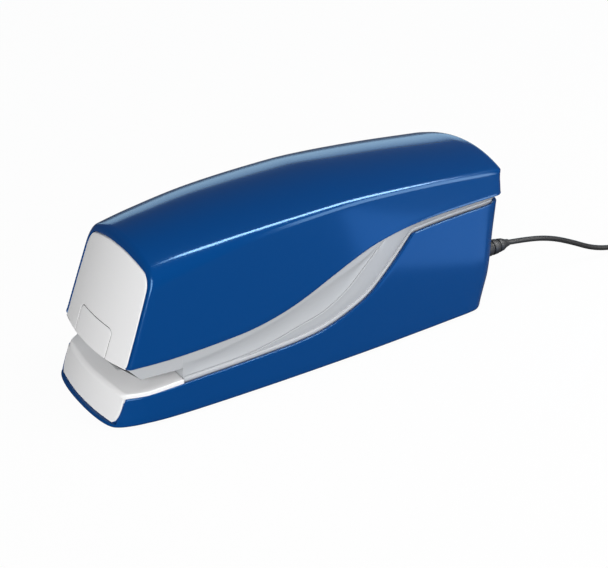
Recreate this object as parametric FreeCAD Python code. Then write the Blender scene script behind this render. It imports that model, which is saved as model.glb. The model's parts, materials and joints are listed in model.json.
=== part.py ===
"""An electric desk stapler with a plug-in power supply, as separate solids, one STEP file per sub-part.

Millimetres. The nose faces -Y, +X is the stapler's left side, +Z is up. Lengths along the stapler are
written as distances behind the nose line, the line through the two front corners of the nose, and
save() moves every part so that the origin lies on the table, under the middle of the stapler.
"""
import FreeCAD, Part
import bisect
import math
import os

V = FreeCAD.Vector

# Driving dimensions
NOSE_LINE = -91.5  # where the nose line stands along Y
FLOOR = 1.0  # underside of the base, on its feet
WALL = 2.0  # thickness of the two blue covers
LINER = 1.8  # thickness of the grey inner body
GAP = 0.15  # between covers that butt against each other
FACE_LEAN = math.atan(0.385)  # the front leans back
FACE_RADIUS = 130.0  # and bulges forward
HEAD_FACE = (-1.2, 26.6)  # (back, up) of the head's front face in the middle
NOSE_FACE = (-6.15, 2.2)  # the same for the nose
LIP_TOP = 2.2  # top of the blue lip under the nose
THROAT = (24.6, 20.9)  # back wall of the paper throat, and its ceiling
CORNER = 137.0  # where the base's upper edge has its corner
TAB = (13.6, 36.6, 2.5)  # half width, top and corner radius of the magazine's front

PLATE = (10.6, 12.1)  # inner and outer face of a frame plate, from the middle
BLADE_BACK = 11.55  # front of the driver blade
BLADE_STROKE = 13.5
LEVER_PIVOT = (99.5, 50.0)
LEVER_TURN = math.radians(9.15)
DRIVE_AXIS = (125.5, 40.0)
ROLLER = (125.5, 49.6, 3.5)  # back, up and radius
CAM_LOW = 6.05
CAM_GAP = 0.06
STAGES = (  # (wheel teeth, pinion teeth, module, direction of the pinion from the wheel's axis in degrees)
    (48, 12, 0.8, -40.0),
    (42, 12, 0.7, 50.0),
    (36, 12, 0.6, -35.0),
)
MOTOR_RADIUS = 12.7
LATCH_PIVOT = (106.0, 40.0)
SENSOR_PIVOT = (30.0, 26.0)
MAGAZINE = (8.5, 22.4, 31.2)  # half width, bottom and top
MAGAZINE_SPAN = (9.6, 94.0)
ROD_HEIGHT = 27.2
SCREWS = [(22, 40), (-22, 40), (21, 162), (-21, 162)]
FEET = [(22, 16), (-22, 16), (22, 174), (-22, 174)]

# The power cord: it leaves the rear on the left side, droops to the table and is coiled behind the stapler
CORD = 2.6
CORD_EXIT = (18.0, 205.0, 23.4)
CORD_ROUTE = [
    CORD_EXIT,
    (18.0, 219.0, 21.8),
    (18.1, 234.0, 18.3),
    (18.4, 248.0, 12.6),
    (19.0, 262.0, 6.0),
    (19.9, 276.0, 2.7),
    (20.3, 292.0, 2.3),
]
COIL_CENTRE = (36.0, 306.0)
COIL_RADIUS = (10.0, 21.0)
COIL_HEIGHT = (0.9, 11.9)
TAIL_ROUTE = [(20.2, 320.5, 8.6), (21.0, 329.5, 7.0), (21.6, 338.0, 6.6)]
ADAPTER = ((4.0, 40.0), (350.0, 405.0), (0.0, 25.0))


def smooth(points):
    """A smooth function through (position, value) points, straight beyond its two ends."""
    at = [p[0] for p in points]
    value = [p[1] for p in points]
    last = len(points) - 1
    slope = []
    for i in range(last + 1):
        a, b = max(i - 1, 0), min(i + 1, last)
        slope.append((value[b] - value[a]) / (at[b] - at[a]))

    def curve(x):
        if x <= at[0]:
            return value[0] + slope[0] * (x - at[0])
        if x >= at[last]:
            return value[last] + slope[last] * (x - at[last])
        i = bisect.bisect_right(at, x) - 1
        step = at[i + 1] - at[i]
        t = (x - at[i]) / step
        start = value[i] * (1 + 2 * t) * (1 - t) ** 2 + value[i + 1] * t * t * (3 - 2 * t)
        return start + step * (slope[i] * t * (1 - t) ** 2 - slope[i + 1] * t * t * (1 - t))

    return curve


# Shape of the housing along its length, each as (behind the nose line, value)
COVER_HALF = smooth([(-2, 29.0), (20, 31.0), (60, 32.4), (100, 32.5), (140, 32.0), (190, 30.9)])
RIDGE_HALF = smooth([(-2, 27.6), (15, 28.0), (45, 29.4), (90, 29.9), (140, 29.5), (190, 28.6)])
RIDGE_HEIGHT = smooth(
    [(-2, 57.5), (15, 61.8), (30, 65), (60, 69.4), (100, 72), (120, 72), (150, 70.6), (190, 67.6)]
)
CROWN_RISE = smooth([(-2, 9.5), (15, 8.2), (60, 6.3), (120, 5.7), (190, 5.7)])
RIDGE_RADIUS = smooth([(-2, 14), (15, 11), (60, 5), (120, 3.5), (190, 3.5)])
COVER_EDGE = smooth(
    [(0, 26.6), (20, 26.8), (40, 27.9), (56, 29.5), (70, 32.7), (80, 36.2), (95, 42.8), (105, 47.2)]
    + [(114, 50.6), (124, 53.1), (135, 54.9), (146, 55.8), (160, 56.3), (190, 56.6)]
)
BASE_EDGE = smooth(
    [(0, 12.6), (10, 13.7), (25, 14.9), (45, 15.7), (65, 16.5), (80, 17.4), (92, 19.4), (104.5, 23.7)]
    + [(114, 28.4), (123, 36.0), (130, 43.0), (CORNER, 50.6)]
)
REAR_EDGE = smooth([(CORNER, 50.6), (150, 51.6), (165, 52.2), (192, 52.9)])
REAR_LEAN = smooth([(1, 6.5), (4, 6.2), (10, 4.7), (17.5, 2.7), (25, 1.8), (37, 1.1), (49, 0)])
COVER_STATIONS = [-8, 2, 9, 16, 25, 40, 60, 85, 110, 135, 160, 180, 195]
BASE_LEVELS = [(FLOOR, 1.8), (1.6, 0.8), (3.0, 0.0), (8, 0), (16, 0), (25, 0), (40, 0), (58, 0)]

# Half of the base's outline in plan, as (from the middle, behind the nose line)
BASE_PLAN = [(6, -7.6), (12, -7.2), (18, -6.4), (22.6, -5.2), (25, -3.9), (26.9, -1.6), (28.6, 1.8)]
BASE_PLAN += [(30.2, 6.5), (31.4, 12.5), (32.3, 21.5), (33, 38), (33.5, 65), (33.5, 98), (33.2, 120)]
BASE_PLAN += [(32.5, 142), (31.7, 165), (31.2, 178), (30.4, 183.5), (28, 187), (23.5, 188.8), (12, 190.2)]
BASE_NOSE, BASE_REAR = -7.7, 190.7

# The same for the outside of the grey inner body, which stands inside both covers
BODY_PLAN = [(14, 24.6), (27.6, 24.6), (28.9, 34), (29.9, 60), (30.3, 98), (30.0, 120), (29.4, 142)]
BODY_PLAN += [(28.9, 165), (28.3, 177), (27.2, 181.8), (23.5, 184.2), (12, 185.6), (4, 185.9)]


# ---- small helpers


def box(x0, x1, y0, y1, z0, z1):
    return Part.makeBox(x1 - x0, y1 - y0, z1 - z0, V(x0, y0, z0))


def rod(start, end, radius):
    a, b = V(*start), V(*end)
    return Part.makeCylinder(radius, (b - a).Length, a, b - a)


def across(x0, x1, back, up, radius):
    """A round bar across the stapler."""
    return rod((x0, back, up), (x1, back, up), radius)


def plate(outline, x0, x1):
    """A side view outline of (back, up) points, as a plate from x0 to x1."""
    points = [V(x0, back, up) for back, up in outline]
    return Part.Face(Part.makePolygon(points + points[:1])).extrude(V(x1 - x0, 0, 0))


def mirrored(shape):
    return shape.mirror(V(0, 0, 0), V(1, 0, 0))


def fuse(shapes):
    whole = shapes[0]
    for shape in shapes[1:]:
        whole = whole.fuse(shape)
    return whole.removeSplitter()


def spline(points, closed=False):
    curve = Part.BSplineCurve()
    curve.interpolate(Points=points, PeriodicFlag=closed)
    return curve.toShape()


def at_angle(centre, radius, degrees):
    """The (back, up) point at that radius, the angle counted from backwards towards up."""
    a = math.radians(degrees)
    return centre[0] + radius * math.cos(a), centre[1] + radius * math.sin(a)


# ---- the housing's outer form


def cover_half_section(back):
    """(x, up) points of the cover's right half section: side, rounded ridge, crown to the middle."""
    low, high = COVER_HALF(back), RIDGE_HALF(back)
    edge, ridge, rise = COVER_EDGE(back), RIDGE_HEIGHT(back), CROWN_RISE(back)
    crown = (high * high + rise * rise) / (2 * rise)
    middle = ridge + rise - crown
    side = V(high - low, 0, ridge - edge).normalize()
    corner_angle = math.asin(high / crown)
    crest = V(-math.cos(corner_angle), 0, math.sin(corner_angle))
    reach = RIDGE_RADIUS(back) * math.tan(side.getAngle(crest) / 2)
    last_angle = corner_angle - reach / crown
    corner = V(high, 0, ridge)
    a = corner - side * reach
    b = V(crown * math.sin(last_angle), 0, middle + crown * math.cos(last_angle))
    foot = corner - side * ((ridge - 14.0) / side.z)
    points = [foot + (a - foot) * (k / 5) for k in range(6)]
    for k in range(1, 6):
        t = k / 5
        u, v, w = (1 - t) ** 2, 1.6 * t * (1 - t), t * t
        points.append((a * u + corner * v + b * w) * (1 / (u + v + w)))
    for k in range(1, 6):
        angle = last_angle * (1 - k / 5)
        points.append(V(crown * math.sin(angle), 0, middle + crown * math.cos(angle)))
    return points


def cover_wire(back, inset):
    half = cover_half_section(back)
    moved = []
    for i, p in enumerate(half):
        along = half[min(i + 1, len(half) - 1)] - half[max(i - 1, 0)]
        out = V(along.z, 0, -along.x).normalize()
        moved.append(p - out * inset if i < len(half) - 1 else V(0, 0, p.z - inset))
    points = [V(-p.x, back, p.z) for p in moved[:-1]] + [V(p.x, back, p.z) for p in reversed(moved)]
    return Part.Wire([spline(points), Part.LineSegment(points[-1], points[0]).toShape()])


def cover_block(inset):
    """The head's outer form, open-ended in front and behind, smaller by inset all round."""
    return Part.makeLoft([cover_wire(back, inset) for back in COVER_STATIONS], True, False)


def rear_end(inset):
    """Everything in front of the cover's rear end, which bulges back and has rounded corners."""
    far, corner, side = 190.6 - inset, 6.0, 31.1 - inset
    join = far - 1.9 - corner
    turn = corner * math.sqrt(0.5)
    edges = [
        Part.LineSegment(V(-45, -60, 0), V(-45, 120, 0)),
        Part.LineSegment(V(-45, 120, 0), V(-side, join, 0)),
        Part.Arc(
            V(-side, join, 0), V(-side + corner - turn, join + turn, 0), V(-side + corner, join + corner, 0)
        ),
        Part.Arc(V(-side + corner, join + corner, 0), V(0, far, 0), V(side - corner, join + corner, 0)),
        Part.Arc(
            V(side - corner, join + corner, 0), V(side - corner + turn, join + turn, 0), V(side, join, 0)
        ),
        Part.LineSegment(V(side, join, 0), V(45, 120, 0)),
        Part.LineSegment(V(45, 120, 0), V(45, -60, 0)),
        Part.LineSegment(V(45, -60, 0), V(-45, -60, 0)),
    ]
    return Part.Face(Part.Wire([e.toShape() for e in edges])).extrude(V(0, 0, 100))


def behind_face(face, inset):
    """Everything behind a leaning, bulging front face that passes through face in the middle."""
    back, up = face
    lean = V(0, math.sin(FACE_LEAN), math.cos(FACE_LEAN))
    inward = V(0, math.cos(FACE_LEAN), -math.sin(FACE_LEAN))
    middle = V(0, back, up) + inward * (FACE_RADIUS + inset)
    return Part.makeCylinder(FACE_RADIUS, 300, middle - lean * 150, lean)


def base_wire(level, inset):
    """The base's outline at a height: drafted sides, and a rear that curves in towards the bottom."""
    half = [V(0, BASE_NOSE, 0)] + [V(x, back, 0) for x, back in BASE_PLAN] + [V(0, BASE_REAR, 0)]
    draft = 0.028 * max(level - 5.0, 0.0)
    moved = []
    for i, p in enumerate(half):
        before = half[i - 1] if i else V(-half[1].x, half[1].y, 0)
        after = half[i + 1] if i + 1 < len(half) else V(-half[-2].x, half[-2].y, 0)
        out = (after - before).cross(V(0, 0, 1)).normalize()
        q = p - out * inset
        q.y -= REAR_LEAN(level) * min(max((p.y - 150) / 35, 0.0), 1.0)
        q.x = max(q.x - draft * min(p.x / 25, 1.0), 0.0)
        moved.append(V(q.x, q.y, level))
    left = [V(-p.x, p.y, p.z) for p in reversed(moved[1:-1])]
    return Part.Wire([spline(moved + left, closed=True)])


def base_block(inset, lowest=FLOOR):
    """The base's outer form up to above its upper edge, smaller by inset at the sides."""
    wires = [base_wire(level, inset + more) for level, more in BASE_LEVELS]
    whole = Part.makeLoft(wires, True, True)
    return whole if lowest == FLOOR else whole.common(box(-60, 60, -60, 260, lowest, 100))


def between(lower, upper, start, end, lift=0.0, drop=0.0):
    """Everything between two edge curves of the side view, from start to end."""
    count = max(int((end - start) / 9), 3)
    stations = [start + (end - start) * k / count for k in range(count + 1)]
    low = [V(-50, s, lower(s) + lift) for s in stations]
    high = [V(-50, s, upper(s) - drop) for s in stations]
    edges = [
        spline(low),
        Part.LineSegment(low[-1], high[-1]).toShape(),
        spline(high),
        Part.LineSegment(high[0], low[0]).toShape(),
    ]
    return Part.Face(Part.Wire(Part.__sortEdges__(edges))).extrude(V(100, 0, 0))


def level(height):
    return lambda back: height


# ---- covers


def make_top_cover():
    outer = cover_block(0).common(behind_face(HEAD_FACE, 0)).common(rear_end(0))
    inner = cover_block(WALL).common(rear_end(WALL))
    shell = outer.cut(inner)
    return shell.common(between(COVER_EDGE, level(95), -12, 198))


def tab_outline(gap):
    half, top, corner = TAB
    half, top = half + gap, top + gap
    bar = box(-half, half, -20, 30, 20, top - corner)
    bar = bar.fuse(box(-half + corner, half - corner, -20, 30, 20, top))
    for side in (-1, 1):
        x = side * (half - corner)
        bar = bar.fuse(rod((x, -20, top - corner), (x, 30, top - corner), corner))
    return bar


def front_skin(thickness):
    """The white front's outer skin, a hair inside the cover's rim."""
    skin = cover_block(WALL + 0.1).common(behind_face(HEAD_FACE, 0.2))
    skin = skin.cut(behind_face(HEAD_FACE, 0.2 + thickness))
    return skin.common(box(-40, 40, -20, 60, HEAD_FACE[1] + 0.1, 90))


def make_front_panel():
    return front_skin(WALL).cut(tab_outline(0.3))


def make_base_cover():
    block = base_block(0)
    edge = between(level(-5), BASE_EDGE, -12, CORNER).fuse(between(level(-5), REAR_EDGE, CORNER, 200))
    above_lip = box(-60, 60, -60, 260, LIP_TOP, 90)
    shell = block.common(edge).cut(base_block(WALL, lowest=FLOOR + WALL))
    in_front = above_lip.common(box(-60, 60, -60, 30, 0, 90)).cut(behind_face(NOSE_FACE, 0))
    front_slot = base_block(0.9, lowest=LIP_TOP).cut(behind_face(NOSE_FACE, WALL + 0.4))
    shell = shell.cut(in_front).cut(front_slot)
    bosses = [rod((x, back, FLOOR + 1), (x, back, 9), 4) for x, back in SCREWS]
    shell = fuse([shell] + bosses)
    for x, back in SCREWS:
        shell = shell.cut(rod((x, back, 0), (x, back, 20), 1.6))
        shell = shell.cut(rod((x, back, 0), (x, back, FLOOR + WALL), 3.0))
    for x, back in FEET:
        shell = shell.cut(rod((x, back, 0), (x, back, FLOOR + 0.5), 5.05))
    shell = shell.cut(rod((CORD_EXIT[0], 176, CORD_EXIT[2]), (CORD_EXIT[0], 200, CORD_EXIT[2]), 3.9))
    return shell.cut(box(-8.2, 8.2, 178, 200, 40.8, 48.8))


def nose_top(drop=0.0):
    """Everything under the nose's top, which rises towards the throat."""
    outline = [(-20, 14.4 - 1.8 - drop), (60, 14.4 + 5.4 - drop), (60, -10), (-20, -10)]
    return plate(outline, -60, 60)


def make_nose_cap():
    front = box(-60, 60, -20, THROAT[0] - 0.1, LIP_TOP + GAP, 40)
    face = behind_face(NOSE_FACE, 0)
    inside = base_block(WALL + 0.1, lowest=FLOOR + WALL + 0.1)
    above_edge = base_block(0.7).common(between(BASE_EDGE, level(40), -12, 60, lift=GAP))
    front_plate = base_block(1.0, lowest=LIP_TOP + GAP).cut(behind_face(NOSE_FACE, WALL + 0.2))
    whole = fuse([inside, above_edge, front_plate]).common(front).common(face).common(nose_top())
    hollow = base_block(WALL + 1.8, lowest=-1).common(behind_face(NOSE_FACE, WALL))
    hollow = hollow.common(nose_top(2.0)).common(box(-60, 60, -20, THROAT[0] - 1.9, 0, 40))
    return whole.cut(hollow).cut(anvil_block())


def anvil_block():
    return nose_top(-0.1).cut(nose_top(1.3)).common(box(-9, 9, 6.5, 17.5, 0, 40))


def make_anvil_plate():
    anvil = anvil_block()
    for side in (-1, 1):
        groove = rod((side * 4.2, 11.0, 18.0), (side * 4.2, 12.6, 18.0), 3.2)
        anvil = anvil.cut(groove)
    return anvil


def body_wire(height, inset):
    half = [V(0, THROAT[0], 0)] + [V(x, back, 0) for x, back in BODY_PLAN] + [V(0, 186.0, 0)]
    taper = 0.02 * max(height - 5.0, 0.0) + 0.12 * max(height - 50.0, 0.0)
    points = []
    for i, p in enumerate(half):
        before = half[i - 1] if i else V(-1, half[0].y, 0)
        after = half[i + 1] if i + 1 < len(half) else V(-4, p.y, 0)
        if i in (1, 2):
            out = V(0, -1, 0) if i == 1 else V(0.9, -0.45, 0)
        else:
            out = (after - before).cross(V(0, 0, 1)).normalize()
        q = p - out * inset
        lean = REAR_LEAN(height) * min(max((p.y - 150) / 35, 0.0), 1.0)
        points.append(V(max(q.x - taper * min(p.x / 25, 1.0), 0.0), q.y - lean, height))
    left = [V(-p.x, p.y, p.z) for p in reversed(points)]
    loop = points + left[:-1]
    loop = [p for i, p in enumerate(loop) if i == 0 or (p - loop[i - 1]).Length > 0.01]
    return Part.makePolygon(loop + loop[:1])


def body_block(inset, low, high):
    levels = [low] + [h for h in (10, 25, 40, 50) if low < h < high] + [high]
    return Part.makeLoft([body_wire(h, inset) for h in levels], True, True)


def make_body():
    """The grey inner body: a wall all round behind the throat, the trim that shows, and the head's floor."""
    wall = body_block(0, 3.3, 61).cut(body_block(LINER, 2, 62))
    trim = between(BASE_EDGE, COVER_EDGE, THROAT[0], CORNER - 2, lift=GAP, drop=GAP)
    head = between(level(THROAT[1]), COVER_EDGE, 0.4, THROAT[0] + 0.1, drop=GAP)
    head = head.cut(plate([(-5, 18), (9.4, 18), (7.0, THROAT[1]), (0.6, 26.6), (-5, 26.6)], -60, 60))
    trim = base_block(1.1).common(cover_block(0.9)).common(trim.fuse(head).removeSplitter())
    inner = cover_block(WALL + 1.6).common(box(-60, 60, -20, 300, 0, 100))
    trim = trim.cut(inner.common(base_block(WALL + 1.6)))
    collar = cover_block(WALL + 0.2).cut(cover_block(WALL + 1.6)).common(box(-60, 60, 9.5, 60, 25, 44))
    floor_outline = [(1.6, 26.5), (7.2, THROAT[1]), (27, THROAT[1]), (27, 22.4), (7.8, 22.4), (3.2, 26.5)]
    floor = plate(floor_outline, -40, 40).common(base_block(1.3)).common(cover_block(1.2))
    floor = floor.cut(box(-10.8, 10.8, -5, 40, 10, 40))
    shape = fuse([wall, trim, collar, floor])
    for x, back in SCREWS:
        side = 1 if x > 0 else -1
        web = box(min(x, side * 28), max(x, side * 28), back - 1.2, back + 1.2, 9.2, 16)
        shape = shape.fuse(rod((x, back, 9.2), (x, back, 16), 4)).fuse(web)
        shape = shape.cut(rod((x, back, 5), (x, back, 14), 1.45))
    shape = shape.cut(box(-26.2, 26.2, THROAT[0] - 0.1, THROAT[0] + LINER + 0.1, 22.4, 62))
    shape = shape.cut(box(12.2, 16.0, 20, 28, 15.4, 22.6))
    shape = shape.cut(box(-PLATE[1] - 0.2, PLATE[1] + 0.2, 26.6, 60, 20, 23.1))
    shape = shape.cut(box(-PLATE[1] - 0.2, PLATE[1] + 0.2, THROAT[0] - 0.1, 30, THROAT[1] - 0.05, 23.1))
    shape = shape.cut(rod((CORD_EXIT[0], 170, CORD_EXIT[2]), (CORD_EXIT[0], 200, CORD_EXIT[2]), 3.9))
    return shape.cut(box(-8.2, 8.2, 170, 200, 40.8, 49.4)).removeSplitter()


def body_pieces():
    """The inner body's left and right halves, and the head's left and right floors in front of them."""
    whole = make_body()
    seam = THROAT[0] - 0.08
    head_box = (-20, seam, THROAT[1] - 0.1, 90)
    rear_box = (seam + 0.06, 200, 0, 90)
    pieces = []
    for span in (rear_box, head_box):
        pieces.append(whole.common(box(0.02, 60, *span)))
        pieces.append(whole.common(box(-60, -0.02, *span)))
    return pieces


# ---- small fixed parts of the housing


def make_rubber_feet():
    return [rod((x, back, 0), (x, back, FLOOR + 0.45), 5) for x, back in FEET]


def make_base_screws():
    screws = []
    for x, back in SCREWS:
        head = rod((x, back, FLOOR + 0.4), (x, back, FLOOR + WALL), 2.8)
        shank = rod((x, back, FLOOR + WALL), (x, back, 13.5), 1.4)
        slot = box(x - 0.4, x + 0.4, back - 1.8, back + 1.8, 0, FLOOR + 1.0)
        cross = box(x - 1.8, x + 1.8, back - 0.4, back + 0.4, 0, FLOOR + 1.0)
        screws.append(head.fuse(shank).cut(slot).cut(cross).removeSplitter())
    return screws


# ---- frame


FRAME_TOP = [(6.8, 23.2), (17, 54), (22, 61), (50, 65.5), (110, 66), (148, 62)]
SPACERS = [(40, 60.5), (84, 61.5), (46, 10), (112, 12), (147, 8)]


def make_frame_plate(side):
    if side > 0:
        outline = FRAME_TOP + [(176, 50), (178, 40), (174, 12), (150, 3.0), (30, 3.0), (30, 23.2)]
    else:
        outline = FRAME_TOP + [(149, 3.0), (30, 3.0), (30, 23.2)]
    shape = plate(outline, PLATE[0], PLATE[1])
    holes = [(*LEVER_PIVOT, 2.5), (*DRIVE_AXIS, 5.0)] + [(back, up, 1.5) for back, up in SPACERS]
    if side > 0:
        holes += [(*AXES[1], 1.5), (*AXES[2], 1.5), (*AXES[3], 5.2), (*SENSOR_PIVOT, 1.0)]
    else:
        holes += [(*LATCH_PIVOT, 1.5)]
    for back, up, radius in holes:
        shape = shape.cut(across(0, 30, back, up, radius))
    return shape if side > 0 else mirrored(shape)


def make_frame_spacers():
    spacers = []
    for back, up in SPACERS:
        bar = across(-PLATE[0], PLATE[0], back, up, 2.5)
        bar = bar.fuse(across(-PLATE[1], PLATE[1], back, up, 1.5))
        for side in (-1, 1):
            bar = bar.fuse(across(side * PLATE[1], side * (PLATE[1] + 0.8), back, up, 2.4))
        spacers.append(bar.removeSplitter())
    return spacers


def make_drive_bushes():
    bushes = []
    for side in (-1, 1):
        bush = across(side * 10.2, side * PLATE[1], *DRIVE_AXIS, 5.0)
        bush = bush.fuse(across(side * PLATE[1], side * (PLATE[1] + 0.9), *DRIVE_AXIS, 6.0))
        bushes.append(bush.cut(across(-30, 30, *DRIVE_AXIS, 3.05)).removeSplitter())
    return bushes


# ---- motor and gears


def chain_axes():
    """(back, up) of the drive, second, first and motor axes, each stage's pinion from its wheel."""
    axes = [DRIVE_AXIS]
    for wheel, pinion, module, degrees in STAGES:
        axes.append(at_angle(axes[-1], module * (wheel + pinion) / 2, degrees))
    return axes


AXES = chain_axes()


def involute(angle):
    return math.tan(angle) - angle


def toothed(teeth, module, x0, x1, centre, tooth_at, addendum=0.85, backlash=0.14):
    """A spur wheel with involute teeth, one of them pointing in the direction tooth_at, in degrees."""
    pitch = module * teeth / 2
    base = pitch * math.cos(math.radians(20))
    root, tip = pitch - 1.15 * module, pitch + addendum * module
    half_pitch = math.pi / (2 * teeth) - backlash * module / (2 * pitch) + involute(math.radians(20))
    first = max(base, root)
    flank = []
    for k in range(5):
        radius = first + (tip - first) * k / 4
        flank.append((radius, half_pitch - involute(math.acos(min(base / radius, 1.0)))))
    outline = []
    for tooth in range(teeth):
        middle = math.radians(tooth_at) + 2 * math.pi * tooth / teeth
        sides = [(root, -flank[0][1])] + [(r, -a) for r, a in flank]
        sides += [(r, a) for r, a in reversed(flank)] + [(root, flank[0][1])]
        for radius, angle in sides:
            point = at_angle(centre, radius, math.degrees(middle + angle))
            if not outline or math.dist(point, outline[-1]) > 1e-4:
                outline.append(point)
    return plate(outline, x0, x1)


def make_gears():
    """The drive gear, the two double gears and the motor pinion, all in mesh."""
    spans = [(20.9, 24.9), (17.0, 20.2), (13.4, 16.4)]  # of the three wheels
    pinions = [(20.2, 25.2), (16.4, 20.6), (13.0, 17.0)]
    blanks = [[] for _ in AXES]
    for i, (wheel, pinion, module, degrees) in enumerate(STAGES):
        blanks[i].append(toothed(wheel, module, *spans[i], AXES[i], degrees))
        gap = degrees + 180 + 180 / pinion
        blanks[i + 1].append(toothed(pinion, module, *pinions[i], AXES[i + 1], gap))
    hub = across(13.2, 20.9, *AXES[0], 5.0)
    drive = fuse([blanks[0][0], hub]).cut(across(0, 40, *AXES[0], 3.0))
    for k in range(6):
        hole = at_angle(AXES[0], 12.0, 60 * k + 20)
        drive = drive.cut(across(0, 40, *hole, 3.6))
    second = fuse(blanks[1]).cut(across(0, 40, *AXES[1], 1.55))
    first = fuse(blanks[2]).cut(across(0, 40, *AXES[2], 1.55))
    motor = blanks[3][0].cut(across(0, 40, *AXES[3], 1.15))
    return drive, second, first, motor


def make_gear_axles():
    second = across(PLATE[0], 26.4, *AXES[1], 1.5)
    first = across(PLATE[0], 21.8, *AXES[2], 1.5)
    return [second, first]


def make_axle_clips():
    clips = []
    for back, up, x in ((*AXES[1], 25.5), (*AXES[2], 20.9)):
        ring = across(x, x + 0.6, back, up, 3.0).cut(across(x, x + 0.6, back, up, 1.5))
        clips.append(ring.cut(box(x - 1, x + 2, back - 0.7, back + 0.7, up, up + 4)))
    return clips


def make_motor():
    back, up = AXES[3]
    can = across(-19.5, PLATE[0], back, up, MOTOR_RADIUS)
    can = can.cut(across(-25, PLATE[0] - 1.2, back, up, MOTOR_RADIUS - 1.2))
    can = can.fuse(across(PLATE[0], PLATE[1] + 0.6, back, up, 4.5)).cut(across(0, 30, back, up, 1.2))
    plug = across(-19.5, -17.6, back, up, MOTOR_RADIUS - 1.25)
    boss = across(-24.0, -22.4, back, up, 4)
    cap = fuse([across(-22.4, -19.5, back, up, MOTOR_RADIUS), plug, boss])
    cap = cap.cut(across(-30, 0, back, up, 1.2))
    for side in (-1, 1):
        cap = cap.fuse(box(-25.6, -22.4, back + side * 8 - 1.4, back + side * 8 + 1.4, up - 0.3, up + 0.3))
    shaft = across(-23.4, 18.5, back, up, 1.15)
    shaft = shaft.fuse(across(-16.5, 8.0, back, up, MOTOR_RADIUS - 2.2))
    return can.removeSplitter(), cap.removeSplitter(), shaft.removeSplitter()


def make_drive_shaft():
    return across(-14.2, 25.4, *DRIVE_AXIS, 3.0)


def make_drive_cam():
    """A cam that lifts the roller evenly while the drive turns half a turn, then lets it fall."""
    arm = V(0, ROLLER[0] - LEVER_PIVOT[0], ROLLER[1] - LEVER_PIVOT[1])
    track = []
    steps = 30
    for k in range(-2, steps + 3):
        turned = math.pi * k / steps
        lift = min(max(turned / math.pi, 0.0), 1.0) * LEVER_TURN
        y = LEVER_PIVOT[0] + arm.y * math.cos(lift) - arm.z * math.sin(lift) - DRIVE_AXIS[0]
        z = LEVER_PIVOT[1] + arm.y * math.sin(lift) + arm.z * math.cos(lift) - DRIVE_AXIS[1]
        c, s = math.cos(turned), math.sin(turned)
        track.append((y * c - z * s, y * s + z * c))
    offset = ROLLER[2] + CAM_GAP
    outline = []
    for i in range(1, len(track) - 1):
        dy, dz = track[i + 1][0] - track[i - 1][0], track[i + 1][1] - track[i - 1][1]
        size = math.hypot(dy, dz)
        outline.append((track[i][0] + dz / size * -offset, track[i][1] + dy / size * offset))
    if math.hypot(*outline[0]) > math.hypot(*track[1]):
        outline = [(2 * t[0] - p[0], 2 * t[1] - p[1]) for t, p in zip(track[1:-1], outline)]
    start, end = outline[0], outline[-1]
    first, last = math.atan2(start[1], start[0]), math.atan2(end[1], end[0])
    low, high = math.hypot(*start), math.hypot(*end)
    sweep = (first - last) % (2 * math.pi)
    for k in range(1, 18):
        t = k / 18
        fall = 0.5 + 0.5 * math.cos(math.pi * min(t * 1.25, 1.0))
        radius = (low - 0.05) + (high - low) * fall
        outline.append((radius * math.cos(last + sweep * t), radius * math.sin(last + sweep * t)))
    points = [(DRIVE_AXIS[0] + y, DRIVE_AXIS[1] + z) for y, z in outline]
    return plate(points, -3, 3).cut(across(-10, 10, *DRIVE_AXIS, 3.0))


# ---- lever and driver


def make_drive_lever():
    cheek = [(17, 46.6), (17, 53), (60, 56.5), (99.5, 56.5), (128, 54.5), (130, 50), (128, 46.2)]
    cheek += [(112, 45.2), (99.5, 44.8), (60, 43)]
    web = [(17, 51.5), (17, 53), (60, 56.5), (88, 56.5), (88, 55), (60, 55)]
    sides = [plate(cheek, 5.0, 6.5), plate(cheek, -6.5, -5.0)]
    hub = across(-9.6, 9.6, *LEVER_PIVOT, 4.0)
    tongue = box(-3, 3, 12.9, 20, 48.0, 51.0).fuse(box(-5.2, 5.2, 17, 20, 48.0, 51.6))
    shape = fuse(sides + [plate(web, -5.2, 5.2), hub, tongue])
    shape = shape.cut(across(-20, 20, *LEVER_PIVOT, 2.55))
    return shape.cut(across(-20, 20, ROLLER[0], ROLLER[1], 1.5))


def make_lever_roller():
    pin = across(-6.9, 6.9, ROLLER[0], ROLLER[1], 1.5)
    return pin.fuse(across(-4.6, 4.6, ROLLER[0], ROLLER[1], ROLLER[2])).removeSplitter()


def make_lever_pin():
    pin = across(-PLATE[1], PLATE[1], *LEVER_PIVOT, 2.5)
    for side in (-1, 1):
        pin = pin.fuse(across(side * PLATE[1], side * (PLATE[1] + 0.9), *LEVER_PIVOT, 3.6))
    return pin.removeSplitter()


def make_driver_blade():
    return box(-6.2, 6.2, BLADE_BACK, BLADE_BACK + 0.5, 31.5, 50)


def make_driver_carrier():
    block = box(-6.2, 6.2, BLADE_BACK + 0.5, 16.2, 45.0, 53.6)
    return block.cut(box(-3.5, 3.5, 0, 30, 47.3, 51.8))


# ---- magazine


def make_magazine_guide():
    low = THROAT[1]
    bottom = box(-10.5, 10.5, 14, 98, low, low + 1.2)
    sides = [box(9.0, 10.5, 9.0, 98, low, 30.8), box(-10.5, -9.0, 9.0, 98, low, 30.8)]
    shape = fuse([bottom] + sides)
    return shape.cut(box(-9.0, 9.0, 34, 90, 0, low + 5).common(box(-5, 5, 0, 200, 0, 90)))


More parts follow.
